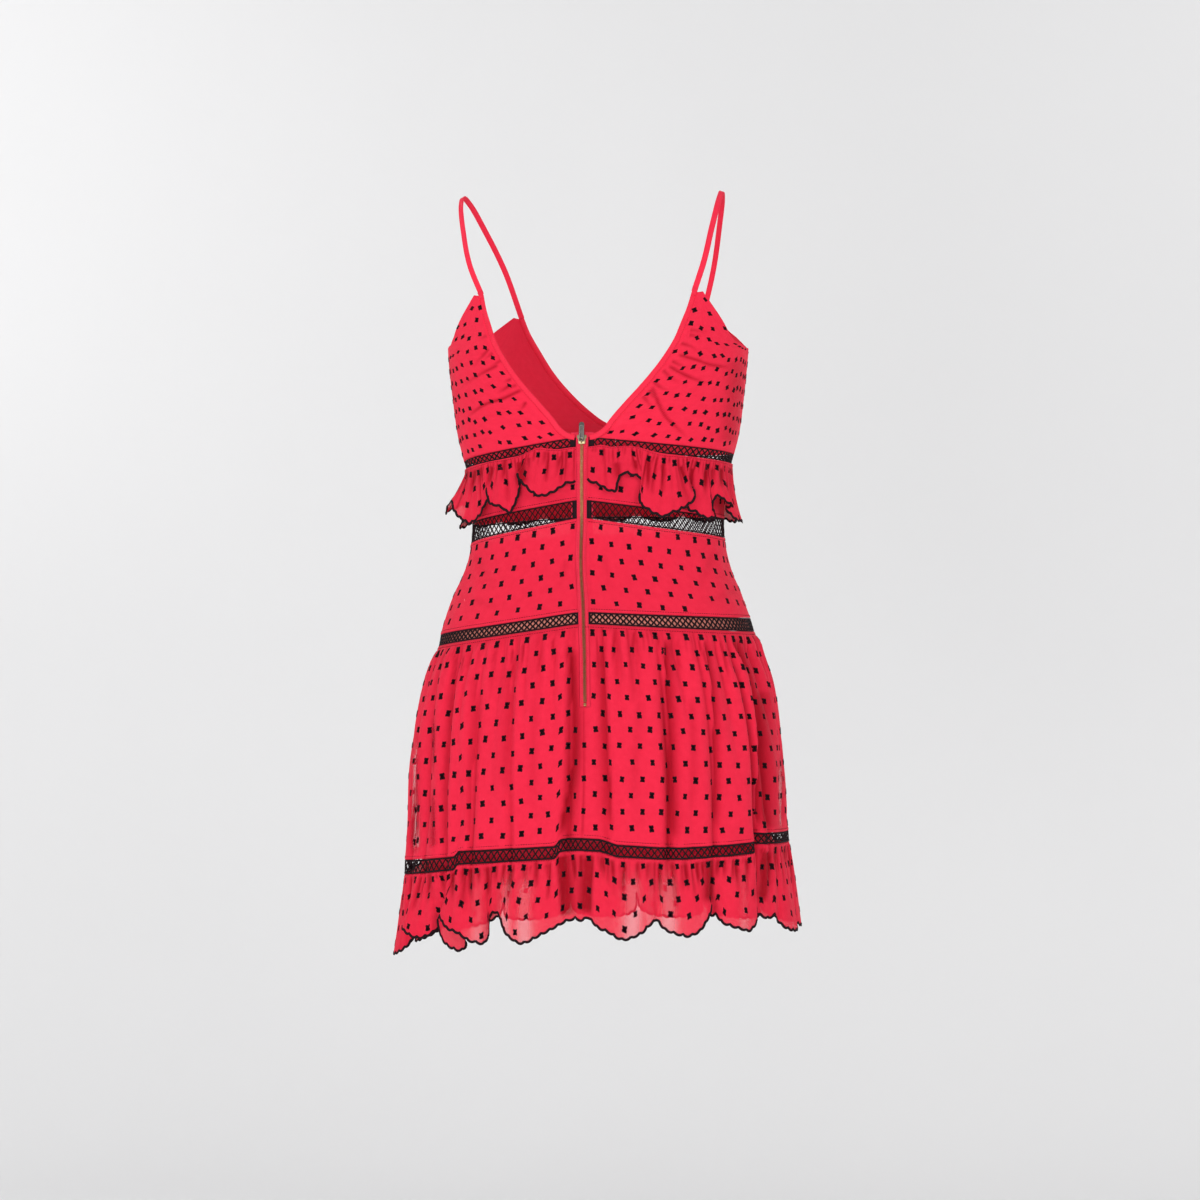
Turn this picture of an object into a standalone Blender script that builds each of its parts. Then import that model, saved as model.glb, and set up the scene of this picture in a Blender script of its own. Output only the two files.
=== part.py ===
"""Sleeveless strappy mini dress, hollow as worn, with a zip up the centre back.

The wearer faces -Y, so the zip is at +Y and the wearer's left is +X. The origin
is midway between the undersides of the two straps where they cross the shoulders.
Tables and sizes are in millimetres and degrees; put_mesh turns them into metres.

Every cloth piece is a grid on one surface: a point has a turn (the angle round the
body from the centre back towards the wearer's left), a height, and an outward step
from the general figure that the dress is cut for.
"""
import math
from typing import NamedTuple

import bmesh
import bpy
import numpy as np
from mathutils import Matrix, Vector

MM = 0.001
COLLECTION = "mini_dress"
CUTTERS = "mini_dress_cutters"

# Driving sizes
CLOTH = 1.2
LACE = 1.2
NET = 1.0
BINDING_WIDTH = 6.0
BINDING_THICK = 2.0
BINDING_PROUD = 0.5
STRAP_WIDTH = 6.0
STRAP_THICK = 1.5
STRAP_GAP = 0.8
SEAM_GAP = 0.3
BINDING_GAP = 0.6
LAYER_GAP = 0.3
SECTION_POWER = 2.5
FRONT_LIFT = 8.0
CREST_SOFTNESS = 0.06
SIDE_TOP = -163.0

# Zip
ZIP_HALF = 6.6
TAPE_OUTER = 6.1
TAPE_INNER = 1.7
TAPE_FLARE = 3.4
TAPE_FLARE_HEIGHT = 8.0
TAPE_TOP = -254.0
TAPE_BOTTOM = -535.0
TAPE_PROUD = 1.0
TAPE_THICK = 1.2
CHAIN_HALF = 1.3
CHAIN_PROUD = 1.6
CHAIN_THICK = 2.2
CHAIN_TOP = -266.3
CHAIN_BOTTOM = -528.0
ZIP_SLOT_END = -536.0
SLIDER_HEIGHT = -261.2
SLIDER_LENGTH = 9.4
SLIDER_TOP_WIDTH = 10.0
SLIDER_LOW_WIDTH = 7.6
PLATE = 1.2
POST_HALF = 1.3
POST_LOW_STEP = 1.0
POST_TOP_STEP = 0.5
PIVOT_DROP = 1.6
PIVOT_LIFT = 1.3
BRIDGE_WIDTH = 1.2
BRIDGE_REACH = 2.1
BRIDGE_INNER = 1.1
TAB_LENGTH = 20.0
TAB_WIDTH = 5.5
TAB_THICK = 1.2
TAB_END_RAIL = 0.5
TAB_SLOT_END = 3.4
TAB_SLOT_HALF = 0.9
TAB_ARC_POINTS = 7
STOP_HALF = 1.35
STOP_HEIGHT = 3.4
STOP_PROUD = 2.1
STOP_THICK = 2.4

# Grid counts
MIDRIFF_COLUMNS = 40
BAND_COLUMNS = 40
LINING_COLUMNS = 40
BUST_LACE_CELLS = 54
TAPE_ROWS = 20
FINE_STEPS = 400
STRAP_ROWS = 16
UPPER_RUFFLE_ROWS = (0.0, 0.3, 0.62, 1.0)
HEM_RUFFLE_ROWS = (0.0, 0.22, 0.5, 0.76, 1.0)
RUFFLE_CURVE = 1.3
LOBE_FULLNESS = 0.6
LOBE_STEPS = (0.0, 0.13, 0.31, 0.5, 0.69, 0.87)
FOLD_STEPS = (0.0, 0.32, 0.68)

# Bust lace: one row of diamonds
DIAMOND_WIDTH = 4.6
DIAMOND_HEIGHT = 6.6
LACE_PITCH = 6.9
LACE_DEPTH = 9.3
LACE_END = 5.0


class Ring(NamedTuple):
    """One section of the general figure, with the dress on it."""

    height: float
    half_width: float
    back: float
    front: float


class Seam(NamedTuple):
    """Heights of one seam at the centre back and at the two sides."""

    back: float
    left: float
    right: float


class Shift(NamedTuple):
    """How far the centre-back line lies to the wearer's left at a height."""

    height: float
    across: float


class Fold(NamedTuple):
    """One skirt fold: its turn at the yoke and at the hem, and its two depths."""

    top: float
    low: float
    gather: float
    deep: float


class Lobe(NamedTuple):
    """One ruffle wave, from the inward fold at start to the next wave's start."""

    start: float
    low: float
    drop: float
    out: float
    notch: float
    tuck: float


class Edge(NamedTuple):
    """A point of a bodice edge, seen square on from the back or the front."""

    across: float
    height: float


class StrapPoint(NamedTuple):
    """A point of the underside of both straps, between their two sewn ends."""

    depth: float
    height: float
    left: float
    right: float


class Finish(NamedTuple):
    """Colour, roughness and metallic value of one kind of piece."""

    colour: tuple
    roughness: float
    metallic: float


FIGURE = (
    Ring(-100, 158.0, 86, 106),
    Ring(-130, 158.0, 91, 116),
    Ring(-168, 157.0, 95, 124),
    Ring(-218, 151.7, 94, 122),
    Ring(-252, 147.0, 91, 110),
    Ring(-286, 139.0, 88, 98),
    Ring(-353, 132.5, 80, 88),
    Ring(-386, 137.0, 86, 91),
    Ring(-420, 150.7, 100, 96),
    Ring(-454, 162.7, 115, 101),
    Ring(-480, 168.0, 120, 105),
    Ring(-504, 176.0, 125, 111),
    Ring(-538, 183.5, 130, 118),
    Ring(-588, 190.5, 136, 125),
    Ring(-656, 194.0, 140, 131),
    Ring(-689, 197.0, 143, 134),
    Ring(-800, 199.0, 147, 138),
)

SEAMS = {
    "bust_lace_top": Seam(-258.8, -281.4, -272.4),
    "bust_lace_low": Seam(-268.4, -289.8, -282.7),
    "waist_lace_top": Seam(-322.8, -345.5, -339.9),
    "waist_lace_low": Seam(-341.2, -367.2, -359.8),
    "hip_lace_top": Seam(-437.1, -462.4, -443.7),
    "hip_lace_low": Seam(-449.2, -474.4, -457.8),
    "hem_lace_top": Seam(-664.9, -695.1, -668.9),
    "hem_lace_low": Seam(-677.8, -710.3, -679.9),
}

ZIP_LINE = (
    Shift(-110, 0.0),
    Shift(-255, 2.0),
    Shift(-345, 4.0),
    Shift(-384, 4.0),
    Shift(-440, -2.5),
    Shift(-535, -7.5),
    Shift(-800, -7.5),
)

# Skirt folds, from the zip round by the wearer's left
SKIRT_PUFF = 3.5
SKIRT_PUFF_DEPTH = 14.0
FOLD_BULGE = 0.3
FOLD_REACH = 0.45
FOLD_START = 0.03
FOLD_GROWTH = 0.6
GATHER_GROWTH = 0.06
GATHER_HOLD = 0.12
GATHER_FADE = 0.5
SKIRT_ROWS_ABOVE = (0.0, 0.055, 0.18)
ROWS_BELOW_SLOT = (0.7, 1.0)
SKIRT_FOLDS = (
    Fold(5.0, 5.1, 3.0, 8.0),
    Fold(10.3, 10.5, 3.0, 0.0),
    Fold(15.2, 14.8, 2.5, 0.0),
    Fold(19.6, 18.2, 3.0, 0.0),
    Fold(24.0, 21.7, 3.5, 4.5),
    Fold(28.5, 28.0, 3.0, 0.0),
    Fold(35.0, 34.3, 1.5, 5.0),
    Fold(41.5, 38.5, 3.0, 0.0),
    Fold(47.0, 43.0, 3.5, 5.0),
    Fold(56.0, 53.0, 2.5, 3.0),
    Fold(66.0, 63.0, 3.0, 6.0),
    Fold(76.0, 75.0, 2.5, 0.0),
    Fold(86.0, 86.0, 3.0, 5.0),
    Fold(97.0, 98.0, 3.0, 0.0),
    Fold(108.0, 110.0, 3.5, 7.0),
    Fold(119.0, 121.0, 2.5, 0.0),
    Fold(130.0, 133.0, 3.0, 5.0),
    Fold(142.0, 144.0, 3.5, 0.0),
    Fold(153.0, 155.0, 3.0, 7.0),
    Fold(165.0, 166.0, 2.5, 0.0),
    Fold(176.0, 178.0, 3.5, 6.0),
    Fold(188.0, 188.0, 3.0, 0.0),
    Fold(199.0, 201.0, 3.0, 7.0),
    Fold(211.0, 212.0, 2.5, 0.0),
    Fold(222.0, 224.0, 3.5, 5.0),
    Fold(233.0, 234.0, 3.0, 0.0),
    Fold(245.0, 246.0, 3.0, 7.0),
    Fold(256.0, 257.0, 2.5, 0.0),
    Fold(268.0, 269.0, 3.5, 5.0),
    Fold(279.0, 280.0, 3.0, 0.0),
    Fold(290.0, 289.5, 2.5, 0.0),
    Fold(299.5, 298.1, 2.5, 4.0),
    Fold(306.5, 304.8, 3.5, 8.5),
    Fold(313.0, 313.5, 3.0, 0.0),
    Fold(321.5, 322.0, 3.0, 5.0),
    Fold(329.0, 329.0, 3.0, 0.0),
    Fold(335.2, 335.5, 3.5, 8.5),
    Fold(342.5, 342.5, 3.0, 0.0),
    Fold(348.6, 348.2, 2.5, 0.0),
    Fold(353.6, 353.4, 3.0, 4.0),
)

# Upper ruffle waves, from the zip round by the wearer's left
UPPER_RUFFLE = (
    Lobe(0.0, 15.7, 44, 11, 37, 0.0),
    Lobe(25.0, 30.5, 57, 15, 12, 3.0),
    Lobe(39.8, 55.0, 62, 20, 32, 2.0),
    Lobe(70.0, 80.0, 36, 30, 27, 11.0),
    Lobe(90.0, 98.0, 52, 30, 30, 14.0),
    Lobe(108.0, 118.0, 58, 20, 36, 3.0),
    Lobe(128.0, 138.0, 54, 16, 32, 2.0),
    Lobe(148.0, 158.0, 58, 18, 36, 2.0),
    Lobe(168.0, 179.0, 56, 16, 34, 2.0),
    Lobe(190.0, 200.0, 58, 18, 36, 2.0),
    Lobe(211.0, 221.0, 54, 16, 32, 2.0),
    Lobe(231.0, 242.0, 58, 20, 36, 3.0),
    Lobe(252.0, 262.0, 58, 18, 38, 4.0),
    Lobe(273.0, 284.0, 56, 17, 40, 5.0),
    Lobe(298.5, 304.0, 62, 16, 36, 2.0),
    Lobe(315.5, 326.0, 63, 18, 28, 2.0),
    Lobe(336.0, 339.0, 28, 10, 30, 4.0),
    Lobe(342.5, 346.3, 43, 12, 24, 3.0),
)

# Hem ruffle waves, from the centre back round by the wearer's left
HEM_RUFFLE = (
    Lobe(2.7, 14.0, 82, 13, 62, -8.0),
    Lobe(25.0, 34.0, 82, 11, 47, -9.0),
    Lobe(43.2, 51.0, 76, 12, 45, -6.0),
    Lobe(60.0, 70.0, 80, 6, 52, -5.0),
    Lobe(79.0, 90.0, 76, 3, 55, -6.0),
    Lobe(101.0, 112.0, 84, 6, 58, -6.0),
    Lobe(122.0, 132.0, 80, 15, 60, -6.0),
    Lobe(142.0, 151.0, 86, 17, 56, -6.0),
    Lobe(161.0, 172.0, 82, 16, 60, -6.0),
    Lobe(182.0, 192.0, 86, 18, 58, -6.0),
    Lobe(203.0, 213.0, 80, 16, 60, -6.0),
    Lobe(223.0, 234.0, 86, 15, 56, -6.0),
    Lobe(244.0, 254.0, 80, 7, 60, -6.0),
    Lobe(264.0, 273.0, 78, 3, 56, -5.0),
    Lobe(283.0, 294.0, 66, 4, 42, -4.0),
    Lobe(308.3, 312.5, 78, 14, 66, -3.0),
    Lobe(324.4, 330.5, 80, 11, 38, -9.0),
    Lobe(340.0, 348.9, 84, 12, 64, -8.0),
    Lobe(358.2, 360.4, 73, 5, 61, -8.0),
)

# How far in the lining lies, by its distance below the yoke
LINING_DEPTHS = (0.0, 12.0, 40.0, 120.0, 260.0)
LINING_INSETS = (2.4, 8.5, 11.0, 13.0, 14.0)
LINING_BELOW_LACE = 5.0
LINING_TOP_GAP = 1.0

BACK_NECK = (
    Edge(7.0, -256.4),
    Edge(14.0, -254.6),
    Edge(22.0, -249.0),
    Edge(29.0, -240.0),
    Edge(43.0, -224.0),
    Edge(57.6, -208.0),
    Edge(71.0, -192.0),
    Edge(83.0, -175.0),
    Edge(92.0, -159.0),
    Edge(98.0, -143.0),
    Edge(104.0, -126.0),
    Edge(108.0, -110.0),
)

BACK_ARMHOLE = (
    Edge(149.0, -159.0),
    Edge(144.0, -151.0),
    Edge(140.5, -143.0),
    Edge(135.3, -134.0),
    Edge(130.0, -126.0),
    Edge(124.5, -118.0),
    Edge(119.0, -110.0),
)

FRONT_NECK = (
    Edge(0.2, -236.0),
    Edge(12.0, -231.0),
    Edge(30.0, -218.0),
    Edge(50.0, -199.0),
    Edge(68.0, -177.0),
    Edge(82.0, -153.0),
    Edge(92.0, -133.0),
    Edge(97.0, -118.0),
)

FRONT_ARMHOLE = (
    Edge(151.0, -158.0),
    Edge(143.0, -149.0),
    Edge(132.0, -139.0),
    Edge(120.0, -128.0),
    Edge(108.0, -118.0),
)

# Fine gathers where the back panels meet the neck binding
BACK_GATHERS = 9
GATHER_FROM = 0.24
GATHER_TO = 0.82
PLAIN_ROWS_BELOW = (0.0, 0.08, 0.16)
PLAIN_ROWS_ABOVE = (0.91, 1.0)
GATHER_DEPTH = 1.5
GATHER_RISE = 0.8
GATHER_REACH = 0.75
GATHER_INSIDE = 0.08
BACK_COLUMNS = (0.0, 0.07, 0.2, 0.38, 0.6, 0.8, 1.0)
DART_DEPTH = 1.6
DART_TOP = 0.5
FRONT_COLUMNS = (0.0, 0.09, 0.18, 0.27, 0.36, 0.45, 0.5, 0.55, 0.64, 0.73, 0.82, 0.91, 1.0)
DART_COLUMN = 6
FRONT_ROWS = (0.0, 0.16, 0.33, 0.5, 0.66, 0.83, 1.0)
FRONT_NECK_ROWS = (0.0, 0.2, 0.4, 0.6, 0.8, 1.0)

STRAP_PATH = (
    StrapPoint(66.0, -82.0, 122.5, 119.0),
    StrapPoint(45.0, -42.0, 134.5, 125.5),
    StrapPoint(18.0, -9.0, 142.5, 130.0),
    StrapPoint(0.0, 0.0, 144.0, 130.5),
    StrapPoint(-22.0, -5.0, 141.0, 128.5),
    StrapPoint(-52.0, -29.0, 131.0, 122.0),
    StrapPoint(-84.0, -70.0, 115.0, 112.0),
)
SHOULDER_MIDDLE = (96.0, -8.0, -95.0)
END_STEP = 0.03

FINISHES = {
    "georgette": Finish((0.83, 0.045, 0.085), 0.75, 0.0),
    "binding": Finish((0.80, 0.03, 0.07), 0.65, 0.0),
    "lace": Finish((0.015, 0.013, 0.014), 0.8, 0.0),
    "net": Finish((0.74, 0.45, 0.31), 0.8, 0.0),
    "lining": Finish((0.72, 0.02, 0.05), 0.6, 0.0),
    "tape": Finish((0.80, 0.02, 0.06), 0.7, 0.0),
    "brass": Finish((0.48, 0.36, 0.16), 0.35, 1.0),
    "gunmetal": Finish((0.32, 0.31, 0.29), 0.3, 1.0),
}


def smooth(x, xs, ys):
    """A cubic curve through a table's rows, with slopes from their neighbours."""
    xs, ys = np.asarray(xs, float), np.asarray(ys, float)
    order = np.argsort(xs)
    xs, ys = xs[order], ys[order]
    slope = np.gradient(ys, xs)
    x = np.clip(x, xs[0], xs[-1])
    i = np.clip(np.searchsorted(xs, x) - 1, 0, len(xs) - 2)
    step = xs[i + 1] - xs[i]
    s = (x - xs[i]) / step
    start = (2 * s ** 3 - 3 * s ** 2 + 1) * ys[i] + (s ** 3 - 2 * s ** 2 + s) * step * slope[i]
    return start + (3 * s ** 2 - 2 * s ** 3) * ys[i + 1] + (s ** 3 - s ** 2) * step * slope[i + 1]


def ease(x):
    """A smooth rise from 0 to 1 as x goes from 0 to 1."""
    x = np.clip(x, 0.0, 1.0)
    return x * x * (3 - 2 * x)


def column(table, name):
    """One named column of a table."""
    return np.array([getattr(row, name) for row in table], float)


def figure_size(height, name):
    """A size of the figure at a height."""
    return smooth(height, column(FIGURE, "height"), column(FIGURE, name))


def rounding(turn):
    """How much a section bulges past an ellipse at a turn."""
    powers = np.abs(np.sin(turn)) ** SECTION_POWER + np.abs(np.cos(turn)) ** SECTION_POWER
    return powers ** (-1 / SECTION_POWER)


def place(turn, height, out=0.0):
    """Points of the dress from their turn, height and outward step."""
    turn, height, out = np.broadcast_arrays(*(np.asarray(v, float) for v in (turn, height, out)))
    half = figure_size(height, "half_width")
    turn = turn + smooth(height, column(ZIP_LINE, "height"), column(ZIP_LINE, "across")) / half
    depth = np.where(np.cos(turn) > 0, figure_size(height, "back"), figure_size(height, "front"))
    across = (half + out) * rounding(turn) * np.sin(turn)
    return np.stack([across, (depth + out) * rounding(turn) * np.cos(turn), height], axis=-1)


def turn_at(across, height):
    """The turn of a point of the back that is a given step across from the zip."""
    turns = np.linspace(0, math.pi / 2, 181)
    reach = rounding(turns) * np.sin(turns)
    return np.interp(across / figure_size(height, "half_width"), reach, turns)


def seam_height(name, turn):
    """A seam falls from the zip to the sides and crosses the front in a soft curve."""
    seam = SEAMS[name]
    side = np.where(np.sin(turn) > 0, seam.left, seam.right)
    front = (seam.left + seam.right) / 2 + FRONT_LIFT
    fall = np.hypot(np.sin(turn), CREST_SOFTNESS) - CREST_SOFTNESS
    round_back = seam.back + (side - seam.back) * fall / (math.hypot(1, CREST_SOFTNESS) - CREST_SOFTNESS)
    return np.where(np.cos(turn) > 0, round_back, front + (side - front) * np.sin(turn) ** 2)


def between_seams(top, low, turns, shares):
    """Heights of a band's rows, just clear of the seams above and below it."""
    upper = seam_height(top, turns) - SEAM_GAP / 2
    lower = seam_height(low, turns) + SEAM_GAP / 2
    return upper + (lower - upper) * np.asarray(shares, float)[:, None]


def clear_of_zip(turns, heights):
    """Turns squeezed a little so that a ring's two ends stop beside the zip."""
    gap = ZIP_HALF / figure_size(heights, "half_width")
    return gap + (2 * math.pi - 2 * gap) * turns / (2 * math.pi)


def open_ring(top, low, columns, shares):
    """Turns and heights of a ring between two seams, open where the zip runs."""
    even = np.linspace(0, 2 * math.pi, columns + 1)
    turns = clear_of_zip(even, between_seams(top, low, even, shares))
    return turns, between_seams(top, low, turns, shares)


def fold_depths(share):
    """Turns and depths of the skirt folds at a share of the way down."""
    turns = np.radians(column(SKIRT_FOLDS, "top") * (1 - share) + column(SKIRT_FOLDS, "low") * share)
    gathered = ease(share / GATHER_GROWTH) * (1 - ease((share - GATHER_HOLD) / GATHER_FADE))
    depths = column(SKIRT_FOLDS, "gather") * gathered
    return turns, depths + column(SKIRT_FOLDS, "deep") * ease((share - FOLD_START) / FOLD_GROWTH)


def skirt_out(turn, share):
    """Outward step of the skirt: puffed below the yoke, with a V at each fold."""
    fold_turns, depths = fold_depths(share)
    full = 2 * math.pi
    turn = np.asarray(turn, float)
    wrapped = (turn - fold_turns[0]) % full + fold_turns[0]
    edges = np.append(fold_turns, fold_turns[0] + full)
    depths = np.append(depths, depths[0])
    i = np.clip(np.searchsorted(edges, wrapped, side="right") - 1, 0, len(edges) - 2)
    q = (wrapped - edges[i]) / (edges[i + 1] - edges[i])
    near = np.clip(1 - q / FOLD_REACH, 0, 1) ** 2 * depths[i]
    far = np.clip(1 - (1 - q) / FOLD_REACH, 0, 1) ** 2 * depths[i + 1]
    bulge = FOLD_BULGE * (depths[i] + depths[i + 1]) / 2 * np.sin(math.pi * q)
    below_yoke = share * (SEAMS["hip_lace_low"].back - SEAMS["hem_lace_top"].back)
    return SKIRT_PUFF * ease(below_yoke / SKIRT_PUFF_DEPTH) - near - far + bulge


def fold_columns(share, height):
    """Turns of the skirt's columns: beside the zip, in each fold and twice between folds."""
    folds, _ = fold_depths(share)
    between = folds[:-1, None] + np.diff(folds)[:, None] * np.array(FOLD_STEPS)
    gap = ZIP_HALF / float(figure_size(height, "half_width"))
    return np.concatenate([[gap], between.ravel(), [folds[-1], 2 * math.pi - gap]])


def lobe_columns(lobes):
    """Turns of a frill's columns, from its first inward fold, closest at the folds."""
    starts, lows = np.radians(column(lobes, "start")), np.radians(column(lobes, "low"))
    widths = np.diff(np.append(starts, starts[0] + 2 * math.pi))
    skew = np.log((lows - starts) / widths) / math.log(0.5)
    return (starts[:, None] + widths[:, None] * np.array(LOBE_STEPS) ** skew[:, None]).ravel()


def lobe_shape(lobes, turns):
    """Length and outward swing of a frill at any turns."""
    starts, lows = np.radians(column(lobes, "start")), np.radians(column(lobes, "low"))
    ends = np.append(starts[1:], starts[0] + 2 * math.pi)
    turns = (turns - starts[0]) % (2 * math.pi) + starts[0]
    i = np.searchsorted(starts, turns, side="right") - 1
    after = (i + 1) % len(lobes)
    share = (turns - starts[i]) / (ends - starts)[i]
    step = share ** (math.log(0.5) / np.log((lows - starts) / (ends - starts)))[i]
    wave = np.sin(math.pi * step)
    drop, out, notch, tuck = (column(lobes, name) for name in ("drop", "out", "notch", "tuck"))
    short = notch[i] + (notch[after] - notch[i]) * step
    inner = tuck[i] + (tuck[after] - tuck[i]) * step
    return short + (drop[i] - short) * wave ** LOBE_FULLNESS, inner + (out[i] - inner) * wave


def put_mesh(name, verts, faces, finish):
    """Make a named object from millimetre points and give it its finish."""
    mesh = bpy.data.meshes.new(name)
    mesh.from_pydata([tuple(MM * c for c in v) for v in verts], [], faces)
    mesh.validate()
    obj = bpy.data.objects.new(name, mesh)
    bpy.data.collections[COLLECTION].objects.link(obj)
    give_finish(obj, finish)
    return obj


def give_finish(obj, finish):
    """Give an object its own Principled material."""
    values = FINISHES[finish]
    material = bpy.data.materials.new(obj.name + "_" + finish)
    material.use_nodes = True
    shader = material.node_tree.nodes["Principled BSDF"]
    shader.inputs["Base Color"].default_value = (*values.colour, 1.0)
    shader.inputs["Roughness"].default_value = values.roughness
    shader.inputs["Metallic"].default_value = values.metallic
    obj.data.materials.append(material)


def solid_wall(obj, thickness, offset=-1.0):
    """Give a surface its wall and smooth shading."""
    obj.data.shade_smooth()
    obj.data.set_sharp_from_angle(angle=math.radians(40))
    wall = obj.modifiers.new("wall", "SOLIDIFY")
    wall.thickness = thickness * MM
    wall.offset = offset
    return obj


def grid_faces(rows, columns, closed, missing=()):
    """Quads of a grid whose columns run round the body and whose rows run down."""
    faces = []
    for r in range(rows - 1):
        for c in range(columns if closed else columns - 1):
            if (r, c) in missing:
                continue
            n = (c + 1) % columns
            faces.append((r * columns + c, r * columns + n, (r + 1) * columns + n, (r + 1) * columns + c))
    return faces


def cloth(name, points, finish, thickness=CLOTH, closed=False, missing=(), side=1, offset=-1.0):
    """A cloth piece from a grid of points; a right-hand piece has its columns turned round."""
    points = np.asarray(points)
    if side < 0:
        points = points[:, ::-1]
    rows, columns = points.shape[:2]
    faces = grid_faces(rows, columns, closed, missing)
    return solid_wall(put_mesh(name, points.reshape(-1, 3), faces, finish), thickness, offset)


def band(name, top, low, columns, shares, finish, out=0.0, thickness=CLOTH):
    """A ring between two seams, open where the zip runs."""
    turns, heights = open_ring(top, low, columns, shares)
    return cloth(name, place(turns, heights, out), finish, thickness)


def make_bands():
    """The fitted bands between the lace, with the net behind the hip lace."""
    band("midriff_band", "bust_lace_low", "waist_lace_top", MIDRIFF_COLUMNS, (0, 0.5, 1), "georgette")
    band("waist_lace", "waist_lace_top", "waist_lace_low", BAND_COLUMNS, (0, 1), "lace", thickness=LACE)
    band("hip_yoke", "waist_lace_low", "hip_lace_top", BAND_COLUMNS, (0, 0.25, 0.5, 0.75, 1), "georgette")
    band("hip_lace", "hip_lace_top", "hip_lace_low", BAND_COLUMNS, (0, 1), "lace", thickness=LACE)
    band("hip_lace_backing", "hip_lace_top", "hip_lace_low", BAND_COLUMNS, (0, 1), "net",
         out=-LACE - LAYER_GAP, thickness=NET)


def lace_cell(index, columns):
    """Faces of one lace cell: eight triangles round its diamond gap."""
    near = index + 1
    far, low_near, low_far = near + 1, near + columns, near + columns + 1
    first = 2 * columns + 4 * index
    start, top, end, foot = first, first + 1, first + 2, first + 3
    return [(near, top, start), (near, far, top), (far, end, top), (far, low_far, end),
            (low_far, foot, end), (low_far, low_near, foot), (low_near, start, foot), (low_near, near, start)]


def make_bust_lace(side):
    """Half of the bust lace, from the zip to the centre front, with its gaps cut through."""
    end_share = LACE_END / (math.pi * figure_size(SEAMS["bust_lace_low"].left, "half_width"))
    shares = np.concatenate([[0.0], np.linspace(end_share, 1.0, BUST_LACE_CELLS + 1)])

    def lace_points(share, down):
        """Points at a share of the half round and a share of the lace's depth."""
        start = ZIP_HALF / figure_size(SEAMS["bust_lace_top"].back, "half_width")
        end = math.pi - SEAM_GAP / 2 / figure_size(SEAMS["bust_lace_top"].back, "front")
        turns = side * (start + (end - start) * share)
        upper = seam_height("bust_lace_top", turns) - SEAM_GAP / 2
        lower = seam_height("bust_lace_low", turns) + SEAM_GAP / 2
        return place(turns, upper + (lower - upper) * down)

    middles = (shares[1:-1] + shares[2:]) / 2
    half = (shares[2] - shares[1]) / 2 * DIAMOND_WIDTH / LACE_PITCH
    rise = DIAMOND_HEIGHT / LACE_DEPTH / 2
    diamonds = np.stack([lace_points(middles - half, 0.5), lace_points(middles, 0.5 - rise),
                         lace_points(middles + half, 0.5), lace_points(middles, 0.5 + rise)], axis=1)
    verts = np.concatenate([lace_points(shares, 0.0), lace_points(shares, 1.0), diamonds.reshape(-1, 3)])
    columns = len(shares)
    faces = [(0, 1, columns + 1, columns)]
    for index in range(BUST_LACE_CELLS):
        faces += lace_cell(index, columns)
    if side < 0:
        faces = [face[::-1] for face in faces]
    name = "bust_lace_left" if side > 0 else "bust_lace_right"
    return solid_wall(put_mesh(name, verts, faces, "lace"), LACE)


def make_upper_ruffle():
    """The frill over the midriff, open at the zip and lying on the midriff there."""
    turns = np.append(lobe_columns(UPPER_RUFFLE), 2 * math.pi)
    length, swing = lobe_shape(UPPER_RUFFLE, turns)
    turns = clear_of_zip(turns, SEAMS["bust_lace_low"].back - length[0])
    top = seam_height("bust_lace_low", turns) - SEAM_GAP / 2
    down = np.array(UPPER_RUFFLE_ROWS)[:, None]
    points = place(turns, top - length * down, CLOTH + LAYER_GAP + swing * down ** RUFFLE_CURVE)
    return cloth("upper_ruffle", points, "georgette")


def slot_share(top, low):
    """The share of a skirt layer's length at the centre back where the zip's slot ends."""
    return (top - ZIP_SLOT_END) / (top - low)


def make_skirt():
    """The gathered skirt tier, slit at the top for the zip."""
    top, low = SEAMS["hip_lace_low"].back, SEAMS["hem_lace_top"].back
    slot = slot_share(top, low)
    shares = (*SKIRT_ROWS_ABOVE, slot, *ROWS_BELOW_SLOT)
    turns = np.array([fold_columns(share, top + (low - top) * share) for share in shares])
    heights = between_seams("hip_lace_low", "hem_lace_top", turns, shares)
    outs = np.array([skirt_out(turn, share) for turn, share in zip(turns, shares)])
    missing = {(r, turns.shape[1] - 1) for r, share in enumerate(shares) if share < slot}
    return cloth("skirt", place(turns, heights, outs), "georgette", closed=True, missing=missing)


def make_lining():
    """The plain lining tube inside the skirt, to just below the hem lace."""
    top, low = SEAMS["hip_lace_low"].back, SEAMS["hem_lace_low"].back - LINING_BELOW_LACE
    slot = slot_share(top, low)
    shares = np.array((*SKIRT_ROWS_ABOVE[:2], slot, *ROWS_BELOW_SLOT))[:, None]
    even = np.linspace(0, 2 * math.pi, LINING_COLUMNS + 1)
    turns = clear_of_zip(even, top + (low - top) * shares)
    upper = seam_height("hip_lace_low", turns) - LINING_TOP_GAP
    lower = seam_height("hem_lace_low", turns) - LINING_BELOW_LACE
    heights = upper + (lower - upper) * shares
    insets = smooth(upper - heights, LINING_DEPTHS, LINING_INSETS)
    missing = {(r, LINING_COLUMNS) for r in range(len(shares)) if shares[r, 0] < slot}
    return cloth("skirt_lining", place(turns, heights, -insets), "lining", closed=True, missing=missing)


def make_hem_lace():
    """The hem lace, which follows the skirt's folds."""
    turns = fold_columns(1.0, SEAMS["hem_lace_top"].back)
    heights = between_seams("hem_lace_top", "hem_lace_low", turns, (0, 1))
    return cloth("hem_lace", place(turns, heights, skirt_out(turns, 1.0)), "lace", LACE, closed=True)


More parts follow.
